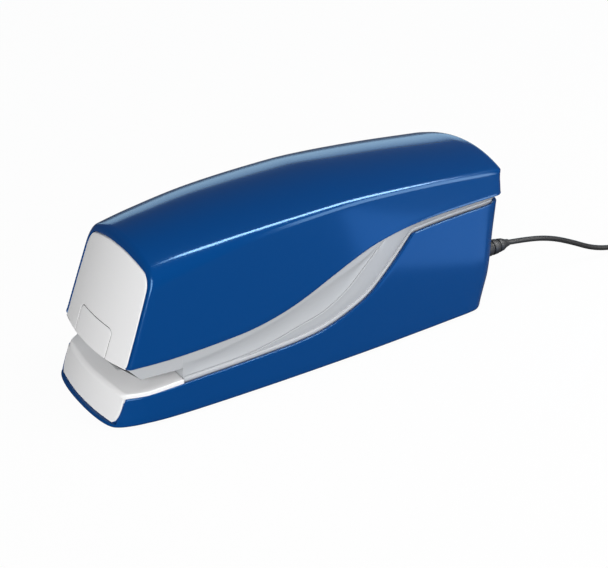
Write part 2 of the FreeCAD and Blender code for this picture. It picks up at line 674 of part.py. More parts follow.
def make_magazine_rail():
    half, low, high = MAGAZINE
    front, rear = MAGAZINE_SPAN
    shape = box(-half, half, front, rear, low, high)
    shape = shape.cut(box(-half + 1.2, half - 1.2, front + 1.6, rear - 1.2, low + 1.2, high + 1))
    shape = shape.cut(box(-6.6, 6.6, front + 1.6, 12.6, 0, high + 1))
    core = box(-5.5, 5.5, 12.6, 16.0, low + 1.2, 29.2)
    lug = box(-10.0, -7.3, rear - 2.8, rear - 0.6, high, 35.0)
    shape = fuse([shape, core, lug])
    return shape.cut(rod((0, 10, ROD_HEIGHT), (0, rear + 5, ROD_HEIGHT), 1.0))


def make_magazine_front():
    tab = front_skin(WALL).common(tab_outline(0))
    chin = plate([(1.3, 27.2), (7.4, 21.3), (9.6, 21.3), (9.6, 31.6), (4.4, 31.6), (4.4, 28.4)], -8.4, 8.4)
    ribs = plate([(1.4, 27.0), (4.6, 24.4), (6.0, 24.4), (6.0, 34), (3.0, 34)], -10.2, 10.2)
    ribs = ribs.cut(plate([(-2, 20), (1.2, 27.0), (7.3, 21.3), (7.3, 20)], -20, 20))
    inside = behind_face(HEAD_FACE, WALL + 0.1)
    return fuse([tab, chin.common(inside).fuse(ribs.common(inside))])


def make_pusher_rod():
    return rod((0, 12.7, ROD_HEIGHT), (0, MAGAZINE_SPAN[1], ROD_HEIGHT), 1.0)


def make_staple_strip():
    outer = box(-6.45, 6.45, 12.75, 42.75, 24.0, 30.1)
    return outer.cut(box(-5.95, 5.95, 12, 44, 20, 29.6))


def make_staple_pusher():
    saddle = box(-6.8, 6.8, 43.2, 54, 29.9, 31.0)
    block = box(-5.2, 5.2, 43.2, 54, 24.2, 30.0)
    return fuse([saddle, block]).cut(rod((0, 40, ROD_HEIGHT), (0, 60, ROD_HEIGHT), 1.06))


def coil_spring(start, end, radius, wire, turns):
    """A compression spring from one point to another, with a round wire."""
    a, b = V(*start), V(*end)
    length = (b - a).Length
    path = Part.Wire(Part.makeHelix(length / turns, length, radius))
    profile = Part.Wire(Part.makeCircle(wire / 2, V(radius, 0, 0), V(0, 1, 0)))
    spring = path.makePipeShell([profile], True, True)
    spring.Placement = FreeCAD.Placement(a, FreeCAD.Rotation(V(0, 0, 1), b - a))
    return spring


def make_pusher_spring():
    return coil_spring((0, 54.6, ROD_HEIGHT), (0, 92.2, ROD_HEIGHT), 2.2, 0.5, 13)


# ---- latch, button and paper sensor


def make_latch_arm():
    hook = [(108.2, 42.2), (104, 42.2), (88.2, 39.6), (88.2, 35.3), (90.4, 35.3), (90.4, 37.0), (103, 38.2)]
    hook += [(104.1, 30.2), (106.7, 30.2), (107.4, 38.0), (108.4, 39.0)]
    arm = plate(hook, -10.2, -7.5).fuse(across(-10.2, -7.5, *LATCH_PIVOT, 2.8))
    arm = arm.fuse(across(-10.2, -7.5, 105.4, 30.2, 1.3))
    return arm.cut(across(-20, 0, *LATCH_PIVOT, 1.55)).removeSplitter()


def make_latch_pin():
    pin = across(-PLATE[1], -7.0, *LATCH_PIVOT, 1.5)
    return pin.fuse(across(-PLATE[1] - 0.9, -PLATE[1], *LATCH_PIVOT, 2.6)).removeSplitter()


def make_release_slider():
    bar = box(-10.2, -7.2, 111.9, 181.2, 46.2, 48.4)
    finger = box(-10.2, -7.2, 111.9, 114.1, 28.6, 48.4)
    toe = box(-10.2, -7.2, 106.9, 112.0, 28.6, 30.3)
    return fuse([bar, finger, toe])


def make_release_button():
    cap = box(-7.9, 7.9, 183.0, 191.4, 41.1, 48.5)
    cap = cap.makeFillet(1.2, [e for e in cap.Edges if e.BoundBox.YMin > 191.3])
    flange = box(-9.4, 9.4, 181.2, 183.0, 40.4, 48.5)
    return fuse([cap, flange])


def make_release_spring():
    return coil_spring((3.5, 170.5, 47.0), (3.5, 180.9, 47.0), 1.1, 0.4, 7)


def make_sensor_lever():
    arm = [(28.4, 27.2), (23.4, 20.8), (23.4, 17.6), (25.4, 17.6), (26.6, 19.6), (31.2, 24.2)]
    tail = [(30, 28.2), (35.6, 28.6), (35.6, 26.6), (30, 24.4)]
    lever = fuse([plate(arm, 12.6, 15.6), plate(tail, 12.6, 15.6), across(12.6, 15.6, *SENSOR_PIVOT, 2.4)])
    return lever.cut(across(0, 30, *SENSOR_PIVOT, 1.05))


def make_sensor_pin():
    pin = across(PLATE[0], 16.4, *SENSOR_PIVOT, 1.0)
    return pin.fuse(across(15.8, 16.4, *SENSOR_PIVOT, 1.9)).removeSplitter()


def make_paper_switch():
    body = box(PLATE[1], 18.4, 31.8, 44.6, 31.3, 38.3)
    plunger = rod((14.1, 34.6, 30.1), (14.1, 34.6, 31.4), 0.8)
    pins = [box(14.6, 15.2, y, y + 1.0, 38.3, 41.3) for y in (33, 37.5, 42)]
    return fuse([body, plunger] + pins)


def make_circuit_board():
    board = box(-24, 8.8, 150, 178, 51.6, 53.2)
    parts = [
        rod((-17, 168, 53.2), (-17, 168, 61.0), 4.0),
        box(-9, 1, 152, 162, 53.2, 55.4),
        box(-22, -14, 152, 159, 53.2, 59.0),
        box(3, 7, 164, 174, 53.2, 58.0),
        rod((-6, 170, 53.2), (-6, 170, 58.0), 2.4),
    ]
    return fuse([board] + parts)


def make_board_bracket():
    leg = box(9.1, PLATE[0], 150, 158, 44.0, 51.6)
    shelf = box(-5.5, PLATE[0], 150, 158, 50.0, 51.6)
    spring_stop = box(1.0, 6.0, 168.3, 170.3, 45.2, 51.6)
    return fuse([leg, shelf, box(1.0, 6.0, 157, 170.3, 50.0, 51.6), spring_stop])


# ---- cord set


def cord_path(route, name):
    """Straight runs joined by tangent arcs, each arc as large as its two runs allow."""
    points = [V(*p) for p in route]
    edges, here, radii = [], points[0], []
    for before, corner, after in zip(points, points[1:], points[2:]):
        back, on = (before - corner), (after - corner)
        turn = math.pi - back.getAngle(on)
        reach = 0.45 * min(back.Length, on.Length)
        radius = reach / math.tan(turn / 2)
        radii.append(round(radius, 1))
        back.normalize()
        on.normalize()
        start, end = corner + back * reach, corner + on * reach
        bisector = (back + on).normalize()
        middle = corner + bisector * (math.hypot(radius, reach) - radius)
        edges += [Part.LineSegment(here, start).toShape(), Part.Arc(start, middle, end).toShape()]
        here = end
    edges.append(Part.LineSegment(here, points[-1]).toShape())
    print(name, "arc radii", radii)
    return Part.Wire(edges)


def cord_tube(route, name):
    path = cord_path(route, name)
    along = V(*route[1]) - V(*route[0])
    profile = Part.Wire(Part.makeCircle(CORD / 2, V(*route[0]), along))
    tube = path.makePipeShell([profile], True, False)
    print(name, "length", round(path.Length, 1), "volume", round(tube.Volume, 1))
    print(name, "section times length", round(math.pi * CORD**2 / 4 * path.Length, 1))
    return tube


def make_cord_coil():
    inner, outer = COIL_RADIUS
    low, high = COIL_HEIGHT
    x, y = COIL_CENTRE
    ring = Part.makeCylinder(outer, high - low, V(x, y, low)).cut(Part.makeCylinder(inner, 50, V(x, y, 0)))
    return ring.makeFillet(3.0, [e for e in ring.Edges if isinstance(e.Curve, Part.Circle)])


def make_cord_tie():
    x, y = COIL_CENTRE
    inner, outer = COIL_RADIUS
    low, high = COIL_HEIGHT
    outside = box(x + inner - 1.4, x + outer + 1.4, y - 3, y + 3, 0, high + 0.9)
    return outside.cut(box(x + inner - 0.6, x + outer + 0.6, y - 5, y + 5, low - 0.1, high + 0.1))


def turned_along(start_y, centre_x, centre_z, outline):
    """A solid of revolution about a line along Y, from (distance, radius) points."""
    points = [V(centre_x, start_y + outline[0][0], centre_z)]
    points += [V(centre_x + radius, start_y + s, centre_z) for s, radius in outline]
    points += [V(centre_x, start_y + outline[-1][0], centre_z)]
    face = Part.Face(Part.makePolygon(points + points[:1]))
    return face.revolve(V(centre_x, 0, centre_z), V(0, 1, 0), 360)


def make_strain_relief():
    start = 180.3
    outline = [(-1.9, 5.2), (-0.7, 5.2), (-0.7, 3.8), (9.1, 3.8), (13.3, 3.7), (13.3, 3.0), (14.3, 3.0)]
    outline += [(14.3, 3.6), (17.3, 3.5), (17.3, 2.7), (18.3, 2.7), (18.3, 3.2), (20.9, 2.9)]
    outline += [(22.7, 2.1), (CORD_EXIT[1] - start, 1.5)]
    return turned_along(start, CORD_EXIT[0], CORD_EXIT[2], outline)


def make_power_adapter():
    (x0, x1), (y0, y1), (z0, z1) = ADAPTER
    body = box(x0, x1, y0, y1, z0, z1)
    return body.makeFillet(3.0, body.Edges)


def make_adapter_pins():
    (x0, x1), (y0, y1), (z0, z1) = ADAPTER
    pins = []
    for side in (-1, 1):
        x, z = (x0 + x1) / 2 + side * 9.5, (z0 + z1) / 2
        pins.append(rod((x, y1, z), (x, y1 + 17, z), 2.0))
    return pins


def make_adapter_relief():
    end = V(*TAIL_ROUTE[-1])
    outline = [(0, 1.5), (3, 2.3), (9, 3.0), (ADAPTER[1][0] - end.y, 3.2)]
    return turned_along(end.y, end.x, end.z, outline)


def save(name, shape):
    """Writes one sub-part, one or more solids, moved so that the origin is under the stapler's middle."""
    solids = []
    for piece in shape if isinstance(shape, (list, tuple)) else [shape]:
        solids += piece.Solids
    for solid in solids:
        if not solid.isValid():
            print("not valid:", name)
        solid.translate(V(0, NOSE_LINE, 0))
    whole = solids[0] if len(solids) == 1 else Part.Compound(solids)
    whole.exportStep("parts/" + name + ".step")
    b = whole.BoundBox
    size = f"{b.XMin:7.1f}{b.XMax:7.1f}{b.YMin:8.1f}{b.YMax:7.1f}{b.ZMin:7.1f}{b.ZMax:7.1f}"
    print(f"{name:18s}{len(solids):3d} solids {whole.Volume:10.1f} mm3  {size}")


def main():
    os.makedirs("parts", exist_ok=True)
    drive, second, first, pinion = make_gears()
    can, cap, shaft = make_motor()
    body_left, body_right, floor_left, floor_right = body_pieces()
    save("top_cover", make_top_cover())
    save("front_panel", make_front_panel())
    save("base_cover", make_base_cover())
    save("nose_cap", make_nose_cap())
    save("anvil_plate", make_anvil_plate())
    save("body_left", body_left)
    save("body_right", body_right)
    save("head_floor_left", floor_left)
    save("head_floor_right", floor_right)
    save("rubber_feet", make_rubber_feet())
    save("base_screws", make_base_screws())
    save("frame_left", make_frame_plate(1))
    save("frame_right", make_frame_plate(-1))
    save("frame_spacers", make_frame_spacers())
    save("drive_bushes", make_drive_bushes())
    save("motor_can", can)
    save("motor_end_cap", cap)
    save("motor_rotor", shaft)
    save("motor_pinion", pinion)
    save("gear_stage_1", first)
    save("gear_stage_2", second)
    save("drive_gear", drive)
    save("drive_shaft", make_drive_shaft())
    save("drive_cam", make_drive_cam())
    save("gear_axles", make_gear_axles())
    save("axle_clips", make_axle_clips())
    save("drive_lever", make_drive_lever())
    save("lever_roller", make_lever_roller())
    save("lever_pin", make_lever_pin())
    save("driver_blade", make_driver_blade())
    save("driver_carrier", make_driver_carrier())
    save("magazine_guide", make_magazine_guide())
    save("magazine_rail", make_magazine_rail())
    save("magazine_front", make_magazine_front())
    save("pusher_rod", make_pusher_rod())
    save("staple_strip", make_staple_strip())
    save("staple_pusher", make_staple_pusher())
    save("pusher_spring", make_pusher_spring())
    save("latch_arm", make_latch_arm())
    save("latch_pin", make_latch_pin())
    save("release_slider", make_release_slider())
    save("release_button", make_release_button())
    save("release_spring", make_release_spring())
    save("sensor_lever", make_sensor_lever())
    save("sensor_pin", make_sensor_pin())
    save("paper_switch", make_paper_switch())
    save("circuit_board", make_circuit_board())
    save("board_bracket", make_board_bracket())
    save("strain_relief", make_strain_relief())
    save("power_cord", cord_tube(CORD_ROUTE, "power_cord"))
    save("cord_coil", make_cord_coil())
    save("cord_tie", make_cord_tie())
    save("cord_tail", cord_tube(TAIL_ROUTE, "cord_tail"))
    save("adapter_relief", make_adapter_relief())
    save("power_adapter", make_power_adapter())
    save("adapter_pins", make_adapter_pins())


main()
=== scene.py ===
"""The electric stapler's visual model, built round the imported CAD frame.

The outer shells are drawn here as fine surfaces from the same curves as the CAD solids. Their points are
written in millimetres as (x, back, up): back is the distance behind the nose line, the line through the
front corners of the nose, and up the height over the table. place() turns that into the frame's metres.
"""

import bisect
import json
import math

import bmesh
import bpy
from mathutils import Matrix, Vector


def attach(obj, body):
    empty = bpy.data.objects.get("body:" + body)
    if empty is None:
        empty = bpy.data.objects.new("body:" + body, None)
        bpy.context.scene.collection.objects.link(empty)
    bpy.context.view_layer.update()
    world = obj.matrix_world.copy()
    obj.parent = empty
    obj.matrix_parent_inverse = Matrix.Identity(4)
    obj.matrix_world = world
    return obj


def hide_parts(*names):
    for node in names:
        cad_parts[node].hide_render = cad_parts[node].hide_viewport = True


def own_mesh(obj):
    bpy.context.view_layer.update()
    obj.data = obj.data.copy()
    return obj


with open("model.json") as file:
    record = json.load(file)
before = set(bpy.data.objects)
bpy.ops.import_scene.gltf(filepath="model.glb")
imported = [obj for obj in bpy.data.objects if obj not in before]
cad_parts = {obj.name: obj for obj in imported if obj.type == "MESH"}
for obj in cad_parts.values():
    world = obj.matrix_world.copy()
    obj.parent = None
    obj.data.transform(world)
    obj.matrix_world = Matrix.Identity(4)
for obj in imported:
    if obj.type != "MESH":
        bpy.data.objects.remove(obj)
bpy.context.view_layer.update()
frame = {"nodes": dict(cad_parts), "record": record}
NODES = frame["nodes"]

MM = 0.001
NOSE_LINE = -91.5  # the nose line's place on the frame's Y axis
CASE, MAGAZINE = "case", "magazine"

FLOOR = 1.0  # the height of the base's underside over the table, which its feet keep
LIP_TOP = 2.2  # the height of the blue lip under the nose
THROAT_BACK, THROAT_TOP = 24.6, 20.9  # the paper throat's back wall and its ceiling
FLOOR_FRONT = 7.0  # where the head's grey floor begins, behind the white front
CORNER = 137.0  # where the base's upper edge turns into the straight rear part
TAB_HALF, TAB_TOP, TAB_CORNER = 13.6, 36.6, 2.5  # the magazine's front: half width, top, corner radius
PANEL_FOOT, FOOT_DIP = 26.7, 1.3  # the white front's lower edge and how far it dips in the middle
CORD = 2.6  # the cord's diameter


def place(x, back, up):
    """A point in the frame's metres."""
    return Vector((x * MM, (back + NOSE_LINE) * MM, up * MM))


def mix(a, b, t):
    return a + (b - a) * t


def clamp(t, low=0.0, high=1.0):
    return min(max(t, low), high)


def smooth(points):
    """A smooth function through (position, value) points, straight beyond its two ends."""
    at = [p[0] for p in points]
    value = [p[1] for p in points]
    last = len(points) - 1
    slope = []
    for i in range(last + 1):
        a, b = max(i - 1, 0), min(i + 1, last)
        slope.append((value[b] - value[a]) / (at[b] - at[a]))

    def curve(x):
        if x <= at[0]:
            return value[0] + slope[0] * (x - at[0])
        if x >= at[last]:
            return value[last] + slope[last] * (x - at[last])
        i = bisect.bisect_right(at, x) - 1
        step = at[i + 1] - at[i]
        t = (x - at[i]) / step
        start = value[i] * (1 + 2 * t) * (1 - t) ** 2 + value[i + 1] * t * t * (3 - 2 * t)
        return start + step * (slope[i] * t * (1 - t) ** 2 - slope[i + 1] * t * t * (1 - t))

    return curve


# ---- the housing's curves, each as (behind the nose line, value) unless a comment says otherwise

COVER_HALF = smooth([(-2, 29.0), (20, 31.0), (60, 32.4), (100, 32.5), (140, 32.0), (190, 30.9)])
RIDGE_HALF = smooth([(-2, 27.6), (15, 28.0), (45, 29.4), (90, 29.9), (140, 29.5), (190, 28.6)])
RIDGE_HEIGHT = smooth(
    [(-2, 57.5), (15, 61.8), (30, 65), (60, 69.4), (100, 72), (120, 72), (150, 70.6), (190, 67.6)]
)
CROWN_RISE = smooth([(-2, 9.5), (15, 8.2), (60, 6.3), (120, 5.7), (190, 5.7)])
RIDGE_RADIUS = smooth([(-2, 14), (15, 11), (60, 5), (120, 3.5), (190, 3.5)])
COVER_EDGE = smooth(
    [(0, 26.6), (20, 26.8), (40, 27.9), (56, 29.5), (70, 32.7), (80, 36.2), (95, 42.8), (105, 47.2)]
    + [(114, 50.6), (124, 53.1), (135, 54.9), (146, 55.8), (160, 56.3), (190, 56.6)]
)
FRONT_EDGE = smooth(
    [(0, 12.6), (10, 13.7), (25, 14.9), (45, 15.7), (65, 16.5), (80, 17.4), (92, 19.4), (104.5, 23.7)]
    + [(114, 28.4), (123, 36.0), (130, 43.0), (CORNER, 50.6)]
)
REAR_EDGE = smooth([(CORNER, 50.6), (150, 51.6), (165, 52.2), (192, 52.9)])
# How far the rear end stands in front of the plan's outline, by height.
REAR_LEAN = smooth([(1, 6.5), (4, 6.2), (10, 4.7), (17.5, 2.7), (25, 1.8), (37, 1.1), (49, 0)])
# The two lines along the grey band: the groove below and the upper edge of its hollow.
CREASE_LOW = smooth(
    [(24, 15.7), (29, 15.9), (42, 17.1), (55, 18.3), (68, 20.7), (78, 23.4), (89, 26.1), (96, 29.3)]
    + [(103, 33.8), (110.5, 40.7), (116.4, 46.6), (125, 55.0)]
)
CREASE_HIGH = smooth(
    [(0, 24.9), (10, 24.4), (30, 22.9), (42, 24.1), (55, 26.7), (68, 29.8), (82, 34.7), (95.7, 39.8)]
    + [(112, 46.2), (125, 55.2)]
)
# The nose's half width by height, and the front rim's width by x.
NOSE_EDGE = smooth([(2.2, 22.6), (2.9, 23.9), (4.2, 24.8), (6, 25.4), (8.5, 25.7), (12, 25.8)])
RIM_WIDTH = smooth([(0, 4.5), (14, 3.9), (22, 2.9), (27, 2.3), (29, 2.1)])
# The base's half outline in plan, (x, back), from the front's middle to the rear's.
BASE_PLAN = [(0, -7.7), (6, -7.6), (12, -7.2), (18, -6.4), (22.6, -5.2), (25, -3.9), (26.9, -1.6)]
BASE_PLAN += [(28.6, 1.8), (30.2, 6.5), (31.4, 12.5), (32.3, 21.5), (33, 38), (33.5, 65), (33.5, 98)]
BASE_PLAN += [(33.2, 120), (32.5, 142), (31.7, 165), (31.2, 178), (30.4, 183.5), (28, 187)]
BASE_PLAN += [(23.5, 188.8), (12, 190.2), (0, 190.7)]
# Both front faces lean back by the same slope and bulge in the middle.
FACE_LEAN = 0.385
HEAD_FACE_BACK, HEAD_FACE_UP, HEAD_BULGE, HEAD_HALF = -1.2, 26.6, 2.96, 27.4
NOSE_FACE_BACK, NOSE_BULGE, NOSE_HALF = -6.15, 3.0, 27.3


def base_edge(back):
    """The height of the base's upper edge along its side."""
    return FRONT_EDGE(back) if back < CORNER else REAR_EDGE(back)


def head_face(x, up):
    """How far back the head's front face stands."""
    return HEAD_FACE_BACK + FACE_LEAN * (up - HEAD_FACE_UP) + HEAD_BULGE * (x / HEAD_HALF) ** 2


def nose_face(x, up):
    """How far back the nose's front face stands."""
    return NOSE_FACE_BACK + FACE_LEAN * (up - LIP_TOP) + NOSE_BULGE * (x / NOSE_HALF) ** 2


def cover_rear(x):
    """How far back the cover's bulging rear end stands."""
    return 190.6 - 1.9 * (x / 30.0) ** 2


def cover_half_section(back, side=14, bend=12, crown=18):
    """(x, up) points of the cover's half section: side from its lower edge, rounded ridge, crown."""
    low, high = COVER_HALF(back), RIDGE_HALF(back)
    edge, ridge, rise = COVER_EDGE(back), RIDGE_HEIGHT(back), CROWN_RISE(back)
    radius = (high * high + rise * rise) / (2 * rise)
    middle = ridge + rise - radius
    wall = Vector((high - low, ridge - edge)).normalized()
    corner_angle = math.asin(high / radius)
    crest = Vector((-math.cos(corner_angle), math.sin(corner_angle)))
    reach = RIDGE_RADIUS(back) * math.tan(wall.angle(crest) / 2)
    last_angle = corner_angle - reach / radius
    corner = Vector((high, ridge))
    a = corner - wall * reach
    b = Vector((radius * math.sin(last_angle), middle + radius * math.cos(last_angle)))
    foot = Vector((low, edge))
    points = [foot.lerp(a, k / side) for k in range(side)]
    for k in range(bend):
        t = k / bend
        u, v, w = (1 - t) ** 2, 1.6 * t * (1 - t), t * t
        points.append((a * u + corner * v + b * w) / (u + v + w))
    for k in range(crown + 1):
        angle = last_angle * (1 - k / crown)
        points.append(Vector((radius * math.sin(angle), middle + radius * math.cos(angle))))
    return points


HALF_COUNT = len(cover_half_section(50.0))


def section_point(back, index):
    """One point of the whole section, index 0 at the left lower edge to the last at the right one."""
    half = cover_half_section(back)
    if index < HALF_COUNT:
        p = half[index]
        return p.x, p.y
    p = half[2 * HALF_COUNT - 2 - index]
    return -p.x, p.y


def section(back):
    """All (x, up) points of the section, from the left lower edge over the crown to the right one."""
    half = cover_half_section(back)
    return [(p.x, p.y) for p in half] + [(-p.x, p.y) for p in reversed(half[:-1])]


SECTION_COUNT = 2 * HALF_COUNT - 1


# ---- mesh helpers


def closing(rows):
    """Rows whose points are closed into rings."""
    return [row + row[:1] for row in rows]


def add_grid(vertices, faces, rows):
    """Adds a grid of points, row by row, to a mesh in the making."""
    start, count = len(vertices), len(rows[0])
    for row in rows:
        vertices.extend(place(*p) for p in row)
    for i in range(len(rows) - 1):
        for j in range(count - 1):
            a = start + i * count + j
            faces.append((a, a + 1, a + count + 1, a + count))


def surface(name, patches, material, sharp=40.0, merge=0.02):
    """One object from several grids, joined where they meet."""
    vertices, faces = [], []
    for rows in patches:
        add_grid(vertices, faces, rows)
    mesh = bpy.data.meshes.new(name)
    mesh.from_pydata(vertices, [], faces)
    return finished(name, mesh, material, sharp, merge)


def finished(name, mesh, material, sharp, merge):
    """The mesh made into an object: doubled points joined, normals outwards, smooth between sharp edges."""
    work = bmesh.new()
    work.from_mesh(mesh)
    bmesh.ops.remove_doubles(work, verts=work.verts, dist=merge * MM)
    bmesh.ops.dissolve_degenerate(work, edges=work.edges, dist=1e-7)
    bmesh.ops.recalc_face_normals(work, faces=work.faces)
    work.to_mesh(mesh)
    work.free()
    for polygon in mesh.polygons:
        polygon.use_smooth = True
    mesh.set_sharp_from_angle(angle=math.radians(sharp))
    thing = bpy.data.objects.new(name, mesh)
    bpy.context.scene.collection.objects.link(thing)
    mesh.materials.append(material)
    return thing


def prism(name, outline, x0, x1, material):
    """A side view outline of (back, up) points between two x positions, with its edges broken."""
    count = len(outline)
    vertices = [place(x, back, up) for x in (x0, x1) for back, up in outline]
    faces = [tuple(range(count)), tuple(range(2 * count - 1, count - 1, -1))]
    for i in range(count):
        j = (i + 1) % count
        faces.append((i, i + count, j + count, j))
    mesh = bpy.data.meshes.new(name)
    mesh.from_pydata(vertices, [], faces)
    thing = finished(name, mesh, material, sharp=35, merge=0.001)
    edge = thing.modifiers.new("edge", "BEVEL")
    edge.width = 0.3 * MM
    edge.segments = 3
    return thing


def moved_in(points, index, distance):
    """A row's point moved along the row's inward normal, in the plane of its section."""
    before = points[max(index - 1, 0)]
    after = points[min(index + 1, len(points) - 1)]
    dx, dz = after[0] - before[0], after[1] - before[1]
    size = math.hypot(dx, dz)
    return points[index][0] - dz / size * distance, points[index][1] + dx / size * distance


# ---- materials


def principled(name, color, roughness, metallic=0.0, coat=0.0, grain=0.0, tint=(1, 1, 1)):
    """A plain material. grain is the depth of its fine texture, tint the colour of its highlights."""
    material = bpy.data.materials.new(name)
    material.use_nodes = True
    nodes, links = material.node_tree.nodes, material.node_tree.links
    shader = nodes["Principled BSDF"]
    shader.inputs["Base Color"].default_value = (*color, 1)
    shader.inputs["Roughness"].default_value = roughness
    shader.inputs["Metallic"].default_value = metallic
    shader.inputs["Specular Tint"].default_value = (*tint, 1)
    shader.inputs["Coat Weight"].default_value = coat
    shader.inputs["Coat Roughness"].default_value = 0.06
    if grain:
        noise = nodes.new("ShaderNodeTexNoise")
        where = nodes.new("ShaderNodeTexCoord")
        bump = nodes.new("ShaderNodeBump")
        noise.inputs["Scale"].default_value = 900.0
        noise.inputs["Detail"].default_value = 3.0
        bump.inputs["Strength"].default_value = grain
        bump.inputs["Distance"].default_value = 0.0002
        links.new(where.outputs["Object"], noise.inputs["Vector"])
        links.new(noise.outputs["Fac"], bump.inputs["Height"])
        links.new(bump.outputs["Normal"], shader.inputs["Normal"])
    return material


LOOKS = {
    "blue_gloss": principled("blue_gloss", (0.0008, 0.043, 0.180), 0.15, tint=(0.35, 0.68, 1.0)),
    "light_grey": principled("light_grey", (0.77, 0.77, 0.775), 0.36),
    "mid_grey": principled("mid_grey", (0.42, 0.435, 0.455), 0.40, grain=0.05),
    "black_rubber": principled("black_rubber", (0.012, 0.012, 0.013), 0.55, grain=0.1),
    "plated_steel": principled("plated_steel", (0.62, 0.63, 0.64), 0.34, metallic=1.0),
    "bright_steel": principled("bright_steel", (0.74, 0.75, 0.76), 0.3, metallic=0.55),
    "dark_steel": principled("dark_steel", (0.12, 0.12, 0.13), 0.35, metallic=1.0),
    "bronze": principled("bronze", (0.45, 0.27, 0.12), 0.42, metallic=1.0),
    "brass": principled("brass", (0.72, 0.52, 0.2), 0.25, metallic=1.0),
    "white_acetal": principled("white_acetal", (0.80, 0.79, 0.74), 0.42),
    "black_plastic": principled("black_plastic", (0.018, 0.018, 0.020), 0.42, grain=0.12),
    "winding": principled("winding", (0.35, 0.12, 0.05), 0.3, coat=0.5),
    "board_green": principled("board_green", (0.01, 0.11, 0.04), 0.3, coat=0.4),
    "cord_black": principled("cord_black", (0.014, 0.014, 0.015), 0.42),
}


def dress(thing, slot, body, *nodes):
    """Puts a piece on its body, in place of CAD nodes. slot is not used."""
    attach(thing, body)
    if nodes:
        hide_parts(*nodes)
    return thing


def dress_cad_nodes():
    for entry in frame["record"]["subparts"]:
        node = NODES[entry["node"]]
        node.data.materials.clear()
        node.data.materials.append(LOOKS[entry["material_slot"]])


# ---- top cover

FRONT_RIM_ROUND = 1.5  # the radius between the front rim and the cover's outside
SIDE_STATIONS = 70  # rows between the front rim and the rear end
REAR_RINGS = 12  # rows from the rear end's edge to its middle


def front_of(index):
    """Where the cover's surface meets the front face along one line of the section."""
    back = 5.0
    for _ in range(30):
        x, up = section_point(back, index)
        back = mix(back, head_face(x, up), 0.7)
    return back


def rear_of(index):
    """Where the cover's surface meets the rear end along one line of the section."""
    back = 189.0
    for _ in range(5):
        x, _ = section_point(back, index)
        back = cover_rear(x)
    return back


def cover_rows():
    """The cover from inside its front rim, round the rim, along the head and over its rear end."""
    fronts = [front_of(j) for j in range(SECTION_COUNT)]
    rears = [rear_of(j) for j in range(SECTION_COUNT)]
    outer = [section_point(fronts[j], j) for j in range(SECTION_COUNT)]
    inner = [moved_in(outer, j, rim_width(outer[j])) for j in range(SECTION_COUNT)]
    rows = []
    for depth, share in ((2.6, 1.0), (0.5, 1.0), (0.12, 0.9), (0.0, 0.8), (0.0, 0.6)):
        row = []
        for j in range(SECTION_COUNT):
            x = mix(outer[j][0], inner[j][0], share)
            up = mix(outer[j][1], inner[j][1], share)
            row.append((x, head_face(x, up) + depth, up))
        rows.append(row)
    for k in range(7):
        t = k / 6
        row = []
        for j in range(SECTION_COUNT):
            ahead = moved_in(outer, j, FRONT_RIM_ROUND)
            start = (ahead[0], head_face(*ahead), ahead[1])
            corner = (outer[j][0], fronts[j], outer[j][1])
            x, up = section_point(fronts[j] + FRONT_RIM_ROUND, j)
            end = (x, fronts[j] + FRONT_RIM_ROUND, up)
            u, v, w = (1 - t) ** 2, 2 * t * (1 - t), t * t
            row.append(tuple(start[c] * u + corner[c] * v + end[c] * w for c in range(3)))
        rows.append(row)
    for k in range(1, SIDE_STATIONS):
        row = []
        for j in range(SECTION_COUNT):
            start, end = fronts[j] + FRONT_RIM_ROUND, rears[j] - rear_round(j)
            back = mix(start, end, k / SIDE_STATIONS)
            x, up = section_point(back, j)
            row.append((x, back, up))
        rows.append(row)
    for k in range(9):
        angle = math.pi / 2 * k / 8
        row = []
        for j in range(SECTION_COUNT):
            radius = rear_round(j)
            back = rears[j] - radius + radius * math.sin(angle)
            x, up = moved_in(section(rears[j]), j, radius * (1 - math.cos(angle)))
            if j in (0, SECTION_COUNT - 1):
                up = COVER_EDGE(back)
            row.append((x, back, up))
        rows.append(row)
    last = rows[-1]
    foot = min(p[2] for p in last)
    for k in range(1, REAR_RINGS + 1):
        t = 1 - k / REAR_RINGS
        row = []
        for x, _, up in last:
            x = x * t
            row.append((x, cover_rear(x) if k < REAR_RINGS else cover_rear(0), foot + (up - foot) * t))
        rows.append(row)
    return rows


def rim_width(point):
    """The width of the blue rim round the front at a point of the cover's edge."""
    return RIM_WIDTH(abs(point[0]))


def rear_round(index):
    """The radius between the cover's side or crown and its rear end, larger at the sides."""
    share = abs(index - (HALF_COUNT - 1)) / (HALF_COUNT - 1)
    return mix(3.4, 5.2, clamp((share - 0.45) / 0.3))


def with_lower_lip(rows):
    """Rounds the cover's lower edge inwards on both sides of every row."""
    done = []
    for row in rows:
        left, right = row[0], row[-1]
        lip = [(2.4, 0.9), (1.0, 0.0), (0.5, 0.0), (0.15, 0.12)]
        before = [(left[0] - d, left[1], left[2] + h) for d, h in lip]
        after = [(right[0] + d, right[1], right[2] + h) for d, h in reversed(lip)]
        first = (left[0], left[1], left[2] + 0.45)
        final = (right[0], right[1], right[2] + 0.45)
        done.append(before + [first] + row[1:-1] + [final] + after)
    return done


def make_top_cover():
    rows = cover_rows()
    around, rear_end = rows[:-REAR_RINGS], rows[-REAR_RINGS - 1 :]
    cover = surface("top_cover_shell", [with_lower_lip(around)], LOOKS["blue_gloss"], merge=0.005)
    dress(cover, "blue_gloss", CASE, "top_cover")
    rear = surface("top_cover_rear", [rear_end], LOOKS["blue_gloss"], merge=0.005)
    dress(rear, "blue_gloss", CASE)


# ---- front panel and the magazine's front

PANEL_GAP, TAB_GAP = 0.25, 0.28  # round the white front, and round the magazine's front in it
PANEL_BEHIND_RIM = 0.15
PANEL_ROLL, TAB_ROLL = 0.42, 0.16  # the edge radii of the two
TAB_MIDDLE = (0.0, 31.0)  # (x, up)
